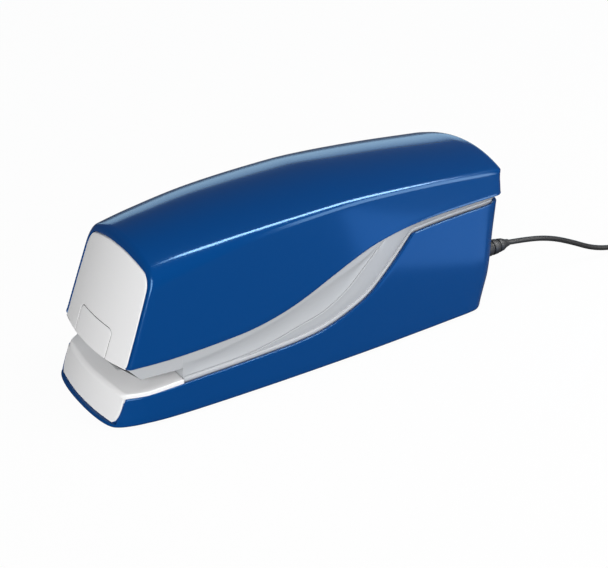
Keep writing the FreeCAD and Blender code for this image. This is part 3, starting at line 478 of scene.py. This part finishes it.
# Side views of the two ribs behind the magazine's front, as (back, up).
CHIN = [(-0.9, 25.6), (6.6, 21.5), (9.5, 21.5), (9.5, 31.5), (4.6, 31.5), (3.4, 27.6)]
RIB = [(2.0, 27.2), (4.6, 24.6), (6.0, 24.6), (6.0, 34), (5.2, 34)]


def foot_at(x):
    """The front's lower edge, which dips a little towards its middle."""
    return PANEL_FOOT - FOOT_DIP * (1 - 0.4 * (x / 27.0) ** 2)


def panel_outline():
    """(x, up) of the white front's edge, from the left foot over the top to the right foot."""
    fronts = [front_of(j) for j in range(SECTION_COUNT)]
    outer = [section_point(fronts[j], j) for j in range(SECTION_COUNT)]
    edge = [moved_in(outer, j, rim_width(outer[j]) + PANEL_GAP) for j in range(SECTION_COUNT)]
    edge[0] = (edge[1][0], foot_at(edge[1][0]))
    edge[-1] = (-edge[1][0], edge[0][1])
    return edge


def tab_edge(gap, count):
    """(x, up) round the magazine's front, from its left foot over the top to its right foot."""
    half, top, radius = TAB_HALF + gap, TAB_TOP + gap, TAB_CORNER + gap
    foot = foot_at(half)
    points = [(half, foot + (top - radius - foot) * k / 6) for k in range(6)]
    for k in range(9):
        angle = math.pi / 2 * k / 8
        points.append((half - radius + radius * math.cos(angle), top - radius + radius * math.sin(angle)))
    points += [((half - radius) * (1 - k / 6), top) for k in range(1, 7)]
    points += [(-x, up) for x, up in reversed(points[:-1])]
    return resampled(points, count)


def resampled(points, count):
    """The same line with evenly spread points."""
    lengths = [0.0]
    for p, q in zip(points, points[1:]):
        lengths.append(lengths[-1] + math.dist(p, q))
    result = []
    for k in range(count):
        target = lengths[-1] * k / (count - 1)
        i = min(bisect.bisect_right(lengths, target) - 1, len(points) - 2)
        t = (target - lengths[i]) / max(lengths[i + 1] - lengths[i], 1e-9)
        result.append(tuple(mix(a, b, clamp(t)) for a, b in zip(points[i], points[i + 1])))
    return result


def edge_roll(size):
    """(inset, depth) steps of a rounded edge, from its wall to the face."""
    return [(0.0, 2.0), (0.0, size), (0.14 * size, 0.48 * size), (0.48 * size, 0.12 * size), (size, 0.0)]


def make_front_panel():
    count = 121
    outer = resampled(panel_outline(), count)
    inner = tab_edge(TAB_GAP, count)
    rows = []
    for inset, depth in edge_roll(PANEL_ROLL):
        rows.append(face_row([toward(outer[k], inner[k], inset) for k in range(count)], depth))
    for step in range(1, 14):
        t = step / 14
        rows.append(face_row([mixed(outer[k], inner[k], t) for k in range(count)], 0.0))
    for inset, depth in reversed(edge_roll(TAB_ROLL)):
        rows.append(face_row([toward(inner[k], outer[k], inset) for k in range(count)], depth))
    rows = [with_foot(row) for row in zip(*rows)]
    patches = [rows, panel_underside(1), panel_underside(-1)]
    panel = surface("front_panel_skin", patches, LOOKS["light_grey"], merge=0.005)
    dress(panel, "light_grey", CASE, "front_panel")


def with_foot(column):
    """One line across the panel, its height following the dip of the lower edge near its foot."""
    done = []
    for x, back, up in column:
        near = clamp(1 - (up - PANEL_FOOT + FOOT_DIP) / 6)
        drop = (foot_at(x) - foot_at(TAB_HALF)) * near * (abs(x) > TAB_HALF)
        done.append((x, back + FACE_LEAN * drop, up + drop))
    return done


def panel_underside(side):
    """The white front's lower wall beside the magazine, which slopes back to the paper throat's ceiling."""
    rows = []
    for k in range(6):
        share = k / 5
        row = []
        for x in (9.0, 13.0, 17.0, 21.0, 24.5, 27.6):
            foot = foot_at(x)
            start = head_face(x, foot) + PANEL_BEHIND_RIM
            row.append((side * x, mix(start, FLOOR_FRONT, share), mix(foot, THROAT_TOP + 0.02, share)))
        rows.append(row)
    return rows


def mixed(p, q, t):
    """The point between two, as mix() does it for numbers."""
    return mix(p[0], q[0], t), mix(p[1], q[1], t)


def toward(p, q, distance):
    """A point moved some distance towards another."""
    return mixed(p, q, distance / max(math.dist(p, q), 1e-6))


def face_row(points, depth):
    """(x, up) points set on the white front's face, some depth behind it."""
    return [(x, head_face(x, up) + PANEL_BEHIND_RIM + depth, up) for x, up in points]


def make_magazine_front():
    count = 97
    edge = tab_edge(0.0, count)
    across = [mix(-TAB_HALF, TAB_HALF, k / 40) for k in range(1, 40)]
    ring = edge + [(x, foot_at(x)) for x in across]
    rows = []
    for inset, depth in edge_roll(TAB_ROLL):
        rows.append(face_row([toward(p, TAB_MIDDLE, inset) for p in ring], depth))
    for step in range(1, 9):
        line = [mixed(toward(p, TAB_MIDDLE, TAB_ROLL), TAB_MIDDLE, step / 8) for p in ring]
        rows.append(face_row(line, 0.0))
    # Painted shade: a dark strip set just behind the gap round the magazine's front, so that the gap reads
    # as a shadow line.
    gap_shade_rows = [face_row(tab_edge(gap, count), 0.13) for gap in (-0.1, 0.1, 0.3)]
    dress(surface("magazine_gap_painted_shade", [gap_shade_rows], LOOKS["black_plastic"]), "black_plastic", MAGAZINE)
    tab = surface("magazine_tab", [closing(rows)], LOOKS["light_grey"], merge=0.01)
    dress(tab, "light_grey", MAGAZINE, "magazine_front")
    for name, outline, half in (("magazine_chin", CHIN, 8.4), ("magazine_rib", RIB, 10.2)):
        dress(prism(name, outline, -half, half, LOOKS["light_grey"]), "light_grey", MAGAZINE)


# ---- base


def base_outline():
    """The base's half outline in plan, closely spaced, front middle to rear middle."""
    points = [Vector((x, back)) for x, back in BASE_PLAN]
    first, last = Vector((-points[1].x, points[1].y)), Vector((-points[-2].x, points[-2].y))
    chain = [first] + points + [last]
    fine = []
    for i in range(1, len(chain) - 2):
        length = (chain[i + 1] - chain[i]).length
        steps = max(int(length / 1.6), 5)
        for k in range(steps):
            fine.append(spline_at(chain[i - 1 : i + 3], k / steps))
    fine.append(points[-1])
    return fine


def spline_at(four, t):
    """A smooth curve through the middle two of four points, spaced by chord length."""
    p0, p1, p2, p3 = four
    span = [max((b - a).length, 1e-6) ** 0.5 for a, b in ((p0, p1), (p1, p2), (p2, p3))]
    t0, t1 = 0.0, span[0]
    t2, t3 = t1 + span[1], t1 + span[1] + span[2]
    at = mix(t1, t2, t)
    a1 = p0 * ((t1 - at) / (t1 - t0)) + p1 * ((at - t0) / (t1 - t0))
    a2 = p1 * ((t2 - at) / (t2 - t1)) + p2 * ((at - t1) / (t2 - t1))
    a3 = p2 * ((t3 - at) / (t3 - t2)) + p3 * ((at - t2) / (t3 - t2))
    b1 = a1 * ((t2 - at) / (t2 - t0)) + a2 * ((at - t0) / (t2 - t0))
    b2 = a2 * ((t3 - at) / (t3 - t1)) + a3 * ((at - t1) / (t3 - t1))
    return b1 * ((t2 - at) / (t2 - t1)) + b2 * ((at - t1) / (t2 - t1))


OUTLINE = base_outline()
SIDE_LEAN = 0.028  # how much the base's sides lean in per millimetre of height


def front_pinch(back, up):
    """How much narrower the nose gets towards its top."""
    return 0.15 * max(up - 2, 0) * clamp((9 - back) / 9)


def base_point(index, up, inset):
    """A point of the base's surface at a height, moved in from the outline."""
    p = OUTLINE[index]
    before = OUTLINE[index - 1] if index else Vector((-OUTLINE[1].x, OUTLINE[1].y))
    last = len(OUTLINE) - 1
    after = OUTLINE[index + 1] if index < last else Vector((-OUTLINE[-2].x, OUTLINE[-2].y))
    along = (after - before).normalized()
    x, back = p.x - along.y * inset, p.y + along.x * inset
    back -= REAR_LEAN(up) * clamp((p.y - 150) / 35)
    x -= (SIDE_LEAN * max(up - 5, 0) + front_pinch(p.y, min(up, 13))) * clamp(p.x / 25)
    return (0.0 if index in (0, last) else max(x, 0.0)), back, up


def base_half_width(back, up):
    """The base's half width at a place along its side."""
    for i in range(len(OUTLINE) - 1):
        p, q = OUTLINE[i], OUTLINE[i + 1]
        if p.y <= back <= q.y and p.x > 20:
            t = (back - p.y) / max(q.y - p.y, 1e-6)
            return mix(p.x, q.x, t) - SIDE_LEAN * max(up - 5, 0)
    return 31.0


def base_top(p):
    """The height of the base's upper edge over a point of its outline."""
    edge = base_edge(p.y)
    if p.y < 12:
        meets_face = (p.y - nose_face(p.x, LIP_TOP)) / FACE_LEAN + LIP_TOP
        edge = clamp(meets_face, LIP_TOP, edge)
    return edge


# (height, inset) round the base's lower edge, and (height over the upper edge, inset) over its top.
BASE_BOTTOM = [(FLOOR, 14.0), (FLOOR, 6.0), (FLOOR, 2.4), (1.02, 1.6), (1.15, 1.0), (1.4, 0.55)]
BASE_BOTTOM += [(1.8, 0.22), (2.4, 0.05), (3.2, 0.0), (4.6, 0.0)]
BASE_TOP = [(-0.55, 0.0), (-0.2, 0.06), (-0.04, 0.2), (0.0, 0.4), (-0.05, 0.7), (-0.15, 1.2)]
BASE_TOP += [(-0.3, 1.7), (-2.4, 1.8), (-3.6, 1.85)]
BASE_SIDE_STEPS = 16
UNDERSIDE_INSET = 3.0  # beyond this inset a row lies on the flat underside
BELOW_TOP = 0.9  # the least height between the lower rounding and the upper edge


def base_rows():
    """The base's half from its underside up its side and over its upper edge, sharper at the front."""
    count = len(OUTLINE)
    bottom_end, top_start = BASE_BOTTOM[-1][0], BASE_TOP[0][0]
    sharpness = [mix(0.3, 1.0, clamp((p.y + 6) / 14)) for p in OUTLINE]
    tops = [base_top(p) for p in OUTLINE]
    rows = []
    for up, inset in BASE_BOTTOM:
        row = []
        for i in range(count):
            rounded = inset < UNDERSIDE_INSET
            level = min(up, mix(0.6, up, sharpness[i])) if rounded else up
            level = min(level, tops[i] - BELOW_TOP)
            row.append(base_point(i, level, inset * sharpness[i] if rounded else inset))
        rows.append(row)
    for k in range(1, BASE_SIDE_STEPS):
        row = []
        for i in range(count):
            low = min(bottom_end, tops[i] - BELOW_TOP)
            row.append(base_point(i, mix(low, tops[i] + top_start, k / BASE_SIDE_STEPS), 0.0))
        rows.append(row)
    for lift, inset in BASE_TOP:
        row = []
        for i in range(count):
            behind_face = tops[i] < LIP_TOP + 4  # the lip, whose top lies flat under the nose's face
            drop = lift * 0.15 if behind_face and inset > 0.5 else lift
            row.append(base_point(i, tops[i] + drop, inset * (1.5 if behind_face else 1.0)))
        rows.append(row)
    middle = [(0.0, back, FLOOR) for _, back, _ in rows[0]]
    return [middle] + rows


def make_base_cover():
    """The lower shell, with a blue wall close behind the nose cap's face that fills its edge gap."""
    whole = [row + [(-x, back, up) for x, back, up in reversed(row)] for row in base_rows()]
    backing = []
    for up in (1.7, 2.4, 3.5, 5.0, 7.0, 9.0, 11.0):
        half = NOSE_EDGE(up) + 1.0
        across = [half * k / 12 for k in range(-12, 13)]
        backing.append([(x, nose_face(x, up) + 0.6, up) for x in across])
    shell = surface("base_cover_shell", [whole, backing], LOOKS["blue_gloss"], sharp=50, merge=0.01)
    dress(shell, "blue_gloss", CASE, "base_cover")


# ---- nose cap

CAP_MIDDLE = 14.0  # the point on the centre line from which the cap's edge is found


def nose_plane(back):
    """The height of the nose's top, which rises a little to the rear."""
    return 14.4 + 0.09 * back


def cap_side(back):
    """The cap's half width beside the throat."""
    return base_half_width(max(back, 2.0), 14.0) - 0.75 - front_pinch(back, 13)


def cap_reach(angle, up, inset):
    """The cap's edge as seen from a point inside it, at a height, in a direction in plan."""
    start = Vector((0.0, CAP_MIDDLE))
    direction = Vector((math.sin(angle), -math.cos(angle)))
    near, far = 0.0, 45.0
    for _ in range(26):
        middle = (near + far) / 2
        p = start + direction * middle
        side = cap_side(p.y) if p.y > 2 else cap_side(2.0) - 0.55 * (2.0 - p.y)
        room = soft_min(side - p.x, p.y - nose_face(p.x, up), 1.6)
        room = min(room, THROAT_BACK - 0.1 - p.y)
        if room > inset:
            near = middle
        else:
            far = middle
    return start + direction * near


def soft_min(a, b, radius):
    """The smaller of two distances, with the corner between them rounded."""
    if a > radius or b > radius:
        return min(a, b)
    return radius - math.hypot(radius - a, radius - b)


def cap_rows():
    """Half of the cap's wall, rounded edge and top, each row from the front's middle round to the rear."""
    angles = [math.pi * k / 90 for k in range(91)]
    levels = [(-5.0, 0.0), (-1.35, 0.0)]
    for k in range(9):
        turn = math.pi / 2 * k / 8
        levels.append((math.sin(turn) - 1, 1 - math.cos(turn)))
    rows = []
    for lift_share, inset_share in levels:
        row = []
        for angle in angles:
            roll = mix(1.8, 0.5, clamp((angle - 0.85) / 0.45))
            lift, inset = roll * lift_share, roll * inset_share
            up = nose_plane(5.0)
            for _ in range(3):
                p = cap_reach(angle, up, inset)
                up = nose_plane(p.y) + lift
                foot = FRONT_EDGE(p.y) - 1.2 if abs(p.x) > 24.6 or p.y > 3 else 12.5
                up = max(up, foot)
            row.append((p.x, p.y, up))
        rows.append(row)
    edge = rows[-1]
    for k in range(1, 7):
        t = k / 6
        row = []
        for x, back, _ in edge:
            inner = mix(back, CAP_MIDDLE, t)
            row.append((x * (1 - t), inner, nose_plane(inner)))
        rows.append(row)
    return rows


def nose_face_rows():
    """The nose's face down to the blue lip, with its side edges rolled back into the housing."""
    roll = 0.5
    rows = []
    for k in range(13):
        up = mix(12.6, LIP_TOP + 0.25, k / 12)
        half = NOSE_EDGE(up)
        row = []
        for j in range(-30, 31):
            x = half * math.sin(math.pi / 2 * j / 30)
            edge = max(abs(x) - (half - roll), 0.0)
            roll_back = roll - math.sqrt(max(roll * roll - edge * edge, 0.0))
            row.append((x, nose_face(x, up) + roll_back, up))
        x, back, _ = row[-1]
        rows.append([(-x, back + 2.0, up)] + row + [(x, back + 2.0, up)])
    return rows


def make_nose_cap():
    whole = [row + [(-x, back, up) for x, back, up in reversed(row[:-1])] for row in cap_rows()]
    patches = [whole, nose_face_rows()]
    cap = surface("nose_cap_skin", patches, LOOKS["light_grey"], sharp=45, merge=0.01)
    dress(cap, "light_grey", CASE, "nose_cap")


# ---- grey inner body


def body_side(back, up):
    """How far out the grey body's side stands, without its detail."""
    low, high = base_edge(back), COVER_EDGE(back)
    share = clamp((up - low) / max(high - low, 0.1), -0.2, 1.0)
    base_x = base_half_width(max(back, 3.0), low) - 2.3
    cover_x = COVER_HALF(back) - 0.9
    front_pull = clamp((14.0 - back) / 14.0)
    return mix(mix(base_x, cover_x, share), cover_x - 0.2, front_pull)


UNDER_COVER = 2.2  # how far the band's top edge turns in under the cover


def body_column(back):
    """(x, up) points up the side at one place: bead, lower band, groove, scoop, upper band."""
    low = base_edge(back) - 0.6
    high = COVER_EDGE(back) - 0.25
    crease_low = clamp(CREASE_LOW(back), low + 2.3, high - 0.3)
    crease_high = clamp(CREASE_HIGH(back), crease_low + 0.1, high - 0.2)
    fade = clamp((back - 20) / 14) * clamp((121 - back) / 12)
    scoop = 0.55 * fade * clamp((crease_high - crease_low) / 5)
    groove = 0.7 * clamp((121 - back) / 3) * clamp((back - 25) / 1.5)
    groove *= 1 + 1.3 * clamp((back - 101) / 9)
    bead, bead_radius, bead_top, under_bead = 0.55, 1.05, low + 2.3, 0.35
    points = []

    def add(up, out):
        up = clamp(up, low, high)
        points.append((body_side(back, up) + out, up))

    for k in range(9):
        turn = math.pi * k / 8
        add(low + bead_radius * (1 - math.cos(turn)), bead * math.sin(turn) - under_bead * (k == 8))
    add(bead_top, -0.3)
    for k in range(1, 4):
        add(mix(bead_top, crease_low - 0.35, k / 4), 0.0)
    add(crease_low - 0.35, 0.12 * (groove > 0))
    add(crease_low - 0.12, 0.0)
    add(crease_low, -groove)
    add(crease_low + 0.22, -groove)
    for k in range(9):
        t = k / 8
        hollow = scoop * math.sin(math.pi * t) ** 0.8 + 0.25 * groove * (1 - t)
        add(mix(crease_low + 0.3, crease_high, t), -hollow)
    for k in range(1, 6):
        add(mix(crease_high, high, k / 5), 0.1 * scoop * (k < 5))
    points.append((body_side(back, high) - UNDER_COVER, high + 0.05))
    return points


def head_column(back):
    """(x, up) points up the head's side beside the paper throat, where the band is plain."""
    high = COVER_EDGE(back) - 0.25
    low = min(max(THROAT_TOP, 26.3 - 0.9 * (back - 1.0)), high - 0.2)
    levels = [mix(low, high, k / 6) for k in range(7)]
    points = [(body_side(back, up), up) for up in levels]
    return points + [(body_side(back, high) - UNDER_COVER, high + 0.05)]


# Where the grey band's columns stand: along the head, and from the throat's back wall to the rear.
HEAD_STATIONS = [0.7 + 0.45 * k for k in range(14)] + [7.5 + 1.9 * k for k in range(9)]
HEAD_STATIONS += [THROAT_BACK - 0.02]
BODY_STATIONS = [THROAT_BACK + 0.02] + [26.0 + 1.6 * k for k in range(76)]
BODY_STATIONS += [147.0 + 4.0 * k for k in range(10)]


def body_rows(side, stations):
    """The grey band along one side, its lower end turned in behind the base's edge."""
    rows = []
    for back in stations:
        column = body_column(back) if back > THROAT_BACK else head_column(back)
        x0, up0 = column[0]
        drop = 2.2 if back > THROAT_BACK else 0.0
        inner = [(x0 - 3.2, up0 - drop), (x0 - 0.05, up0 - drop)]
        at = back + 1.6 * clamp((8 - back) / 8)
        rows.append([(side * x, at, up) for x, up in inner + column])
    return rows


def make_body(side):
    """One half of the grey inner body: its side, the strip over the rear end and the throat's back wall."""
    patches = [body_rows(side, BODY_STATIONS)]
    strip = []
    for up in (REAR_EDGE(186) - 0.8, 53.6, 54.6, 55.6, COVER_EDGE(186) + 0.4):
        line = [base_point(i, 49.0, 2.2) for i, p in enumerate(OUTLINE) if p.y > 170]
        strip.append([(side * x, back, up) for x, back, _ in line])
    patches.append(strip)
    wall = []
    for up in (13.5, 16.0, 18.0, 20.0, THROAT_TOP):
        wall.append([(side * x, THROAT_BACK, up) for x in (0.05, 8, 16, 24, body_side(THROAT_BACK, up))])
    patches.append(wall)
    name = "body_left" if side > 0 else "body_right"
    thing = surface(name + "_skin", patches, LOOKS["mid_grey"], sharp=32, merge=0.01)
    dress(thing, "mid_grey", CASE, name)


def make_head_floor(side):
    """The grey floor of the head beside the magazine, with its side."""
    patches = [body_rows(side, HEAD_STATIONS)]
    ceiling = []
    for back in (FLOOR_FRONT, 10, 14, 18, 22, THROAT_BACK):
        edge = body_side(back, THROAT_TOP)
        ceiling.append([(side * x, back, THROAT_TOP) for x in (10.9, 16, 22, edge)])
    patches.append(ceiling)
    name = "head_floor_left" if side > 0 else "head_floor_right"
    thing = surface(name + "_skin", patches, LOOKS["mid_grey"], sharp=32, merge=0.01)
    dress(thing, "mid_grey", CASE, name)


# ---- turned pieces, springs and the cord


def turned(name, outline, centre, material, segments=40):
    """A piece turned about a line along Y, from (back, radius) points."""
    x0, up0 = centre
    rows = []
    for back, radius in outline:
        ring = []
        for k in range(segments):
            angle = 2 * math.pi * k / segments
            ring.append((x0 + radius * math.cos(angle), back, up0 + radius * math.sin(angle)))
        rows.append(ring)
    return surface(name, [closing(rows)], material, sharp=38, merge=0.002)


CORD_EXIT = (18.0, 205.0, 23.4)
CORD_ROUTE = [
    CORD_EXIT,
    (18.0, 219.0, 21.8),
    (18.1, 234.0, 18.3),
    (18.4, 248.0, 12.6),
    (19.0, 262.0, 6.0),
    (19.9, 276.0, 2.7),
    (20.3, 292.0, 2.3),
]
TAIL_ROUTE = [(20.2, 320.5, 8.6), (21.0, 329.5, 7.0), (21.6, 338.0, 6.6)]
COIL_CENTRE = (36.0, 306.0)
COIL_PITCH = 2.78  # between neighbouring turns, and between layers
COIL_OUTER = 19.7  # the outermost turn's radius
COIL_LOW = 2.3  # the lowest layer's height
LAYERS, TURNS_EACH = 4, 3

# The boot's outline along the cord, as (back, radius), with its two grooves.
BOOT = [(186.0, 0.1), (186.0, 3.75), (189.4, 3.8), (193.2, 3.75), (193.5, 3.6), (193.6, 3.1)]
BOOT += [(194.5, 3.1), (194.6, 3.55), (194.9, 3.7), (197.4, 3.55), (197.7, 3.4), (197.8, 2.8)]
BOOT += [(198.6, 2.8), (198.7, 3.15), (199.0, 3.3), (201.2, 2.95), (202.6, 2.3), (204.0, 1.85)]
BOOT += [(205.0, 1.7), (205.0, 1.2)]


def make_strain_relief():
    boot = turned("strain_relief_boot", BOOT, (CORD_EXIT[0], CORD_EXIT[2]), LOOKS["black_rubber"])
    return dress(boot, "black_rubber", CASE, "strain_relief")


def coil_points():
    """The coil's turns: flat layers, wound inwards and outwards by turns, a half turn between layers."""
    points = []
    per_turn = 16
    turn, radius, up = 0.0, COIL_OUTER, COIL_LOW
    for layer in range(LAYERS):
        inwards = -1 if layer % 2 == 0 else 1
        for k in range(TURNS_EACH * per_turn):
            points.append((turn + k / per_turn, radius + inwards * COIL_PITCH * k / per_turn, up))
        turn += TURNS_EACH
        radius += inwards * COIL_PITCH * TURNS_EACH
        if layer < LAYERS - 1:
            for k in range(per_turn // 2):
                points.append((turn + k / per_turn, radius, up + COIL_PITCH * k / (per_turn / 2)))
            turn += 0.5
            up += COIL_PITCH
    for k in range(per_turn // 2):
        share = k / (per_turn / 2)
        points.append((turn + k / per_turn, radius + COIL_PITCH * 0.5 * share, up - 0.8 * share))
    line = []
    for turned_by, distance, height in points:
        angle = math.pi - 2 * math.pi * turned_by
        x = COIL_CENTRE[0] + distance * math.cos(angle)
        back = COIL_CENTRE[1] + distance * math.sin(angle)
        line.append((x, back, height))
    return line


def tube_along(name, points, diameter, material):
    """A round tube whose line is one smooth spline with these points as its control points."""
    curve = bpy.data.curves.new(name, "CURVE")
    curve.dimensions = "3D"
    curve.bevel_depth = diameter / 2 * MM
    curve.bevel_resolution = 5
    curve.resolution_u = 6
    line = curve.splines.new("NURBS")
    line.points.add(len(points) - 1)
    for point, position in zip(line.points, points):
        point.co = (*place(*position), 1)
    line.order_u = 3
    line.use_endpoint_u = True
    curve.materials.append(material)
    thing = bpy.data.objects.new(name, curve)
    bpy.context.scene.collection.objects.link(thing)
    return thing


def make_cord(boot):
    """The whole cord: the part in view, the coil behind the stapler and the tail to the adapter."""
    points = CORD_ROUTE + coil_points() + TAIL_ROUTE
    cord = tube_along("power_cord_line", points, CORD, LOOKS["cord_black"])
    dress(cord, "cord_black", CASE, "power_cord", "cord_coil", "cord_tail")


def spring(name, start, length, radius, wire, turns, body, node):
    """A compression spring along Y, wound from its start over its length."""
    x0, back0, up0 = start
    per_turn = 16
    steps = turns * per_turn
    rows = []
    for k in range(steps + 1):
        angle = 2 * math.pi * k / per_turn
        back = back0 + length * k / steps
        out = Vector((math.cos(angle), 0, math.sin(angle)))
        ring = []
        for m in range(8):
            turn = 2 * math.pi * m / 8
            reach = radius + wire / 2 * math.cos(turn)
            ring.append((x0 + out.x * reach, back + wire / 2 * math.sin(turn), up0 + out.z * reach))
        rows.append(ring)
    thing = surface(name, [closing(rows)], LOOKS["dark_steel"], merge=0.0001)
    dress(thing, "dark_steel", body, node)
    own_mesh(thing)


# ---- floor, light and camera


def make_stage():
    """A plain white floor: white to the camera, with a soft shadow, and dim to everything else."""
    mesh = bpy.data.meshes.new("floor")
    size = 3.0
    corners = [(-size, -size, 0), (size, -size, 0), (size, size, 0), (-size, size, 0)]
    mesh.from_pydata([(x, y, z - 0.0002) for x, y, z in corners], [], [(0, 1, 2, 3)])
    floor = bpy.data.objects.new("floor", mesh)
    bpy.context.scene.collection.objects.link(floor)
    material = principled("floor_white", (0.10, 0.10, 0.10), 0.9)
    nodes, links = material.node_tree.nodes, material.node_tree.links
    glow, path, blend = (nodes.new("ShaderNode" + kind) for kind in ("Emission", "LightPath", "MixShader"))
    glow.inputs["Strength"].default_value = 1.2
    glow.inputs["Color"].default_value = (1, 1, 1, 1)
    share = nodes.new("ShaderNodeMath")
    share.operation = "MULTIPLY"
    share.inputs[1].default_value = 0.8
    links.new(path.outputs["Is Camera Ray"], share.inputs[0])
    links.new(share.outputs[0], blend.inputs["Fac"])
    links.new(nodes["Principled BSDF"].outputs[0], blend.inputs[1])
    links.new(glow.outputs[0], blend.inputs[2])
    links.new(blend.outputs[0], nodes["Material Output"].inputs["Surface"])
    mesh.materials.append(material)


def area_light(name, direction, distance, size, radiance, aim=(0, 0, 0.04), color=(1, 1, 1)):
    """A softbox in that direction from the stapler. radiance is how bright it looks in a mirror."""
    data = bpy.data.lights.new(name, "AREA")
    data.shape = "RECTANGLE"
    data.size, data.size_y = size
    data.energy = math.pi * size[0] * size[1] * radiance
    data.color = color
    light = bpy.data.objects.new(name, data)
    light.location = Vector(aim) + Vector(direction).normalized() * distance
    light.rotation_euler = (-Vector(direction)).to_track_quat("-Z", "Y").to_euler()
    bpy.context.scene.collection.objects.link(light)
    return light


def make_lights():
    world = bpy.data.worlds.new("studio")
    world.use_nodes = True
    nodes, links = world.node_tree.nodes, world.node_tree.links
    seen, dim = nodes["Background"], nodes.new("ShaderNodeBackground")
    path, blend = nodes.new("ShaderNodeLightPath"), nodes.new("ShaderNodeMixShader")
    seen.inputs["Color"].default_value = (1, 1, 1, 1)
    seen.inputs["Strength"].default_value = 1.0
    dim.inputs["Color"].default_value = (1, 1, 1, 1)
    dim.inputs["Strength"].default_value = 0.10
    links.new(path.outputs["Is Camera Ray"], blend.inputs["Fac"])
    links.new(dim.outputs[0], blend.inputs[1])
    links.new(seen.outputs[0], blend.inputs[2])
    links.new(blend.outputs[0], nodes["World Output"].inputs["Surface"])
    bpy.context.scene.world = world
    area_light("key", (0.62, -0.66, 0.30), 1.1, (0.6, 0.6), 11.4)
    overhead = area_light("overhead", (0.1, 0.55, 0.8), 1.2, (0.9, 0.9), 3.2)
    overhead.visible_glossy = False
    strip = area_light("strip", (0.26, 0.41, 0.88), 0.95, (0.22, 0.9), 30.0, aim=(0.03, 0, 0.07))
    strip.visible_diffuse = False
    area_light("horizon", (-0.82, 0.55, 0.12), 1.1, (1.6, 0.3), 1.3, color=(0.5, 0.78, 1.0))
    near_side, pale_blue = (0.03, 0.06, 0.03), (0.25, 0.5, 1.0)
    card = area_light("card", (0.74, 0.50, -0.36), 0.078, (0.09, 0.09), 2.2, aim=near_side, color=pale_blue)
    card.visible_camera = False
    card.visible_diffuse = False
    area_light("rear_fill", (0.80, 0.52, 0.30), 0.5, (0.3, 0.3), 6.0, aim=(0.03, 0.09, 0.04))


def make_camera():
    data = bpy.data.cameras.new("camera")
    data.sensor_width = 36.0
    data.lens = 71.05
    camera = bpy.data.objects.new("camera", data)
    turn, fall = math.radians(33.75), math.radians(27.11)
    camera.location = (0.3904, -0.2507, 0.2635)
    forward = Vector((-math.cos(turn) * math.cos(fall), math.sin(turn) * math.cos(fall), -math.sin(fall)))
    camera.rotation_euler = forward.to_track_quat("-Z", "Y").to_euler()
    bpy.context.scene.collection.objects.link(camera)
    bpy.context.scene.camera = camera
    bpy.context.scene.view_settings.view_transform = "Standard"


dress_cad_nodes()
make_top_cover()
make_front_panel()
make_magazine_front()
make_base_cover()
make_nose_cap()
for half in (1, -1):
    make_body(half)
    make_head_floor(half)
make_cord(make_strain_relief())
spring(
    "pusher_spring_coil",
    start=(0, 54.5, 27.2),
    length=37.7,
    radius=2.2,
    wire=0.5,
    turns=13,
    body=MAGAZINE,
    node="pusher_spring",
)
spring(
    "release_spring_coil",
    start=(3.5, 170.5, 47.0),
    length=10.4,
    radius=1.1,
    wire=0.4,
    turns=7,
    body=CASE,
    node="release_spring",
)
make_stage()
make_lights()
make_camera()
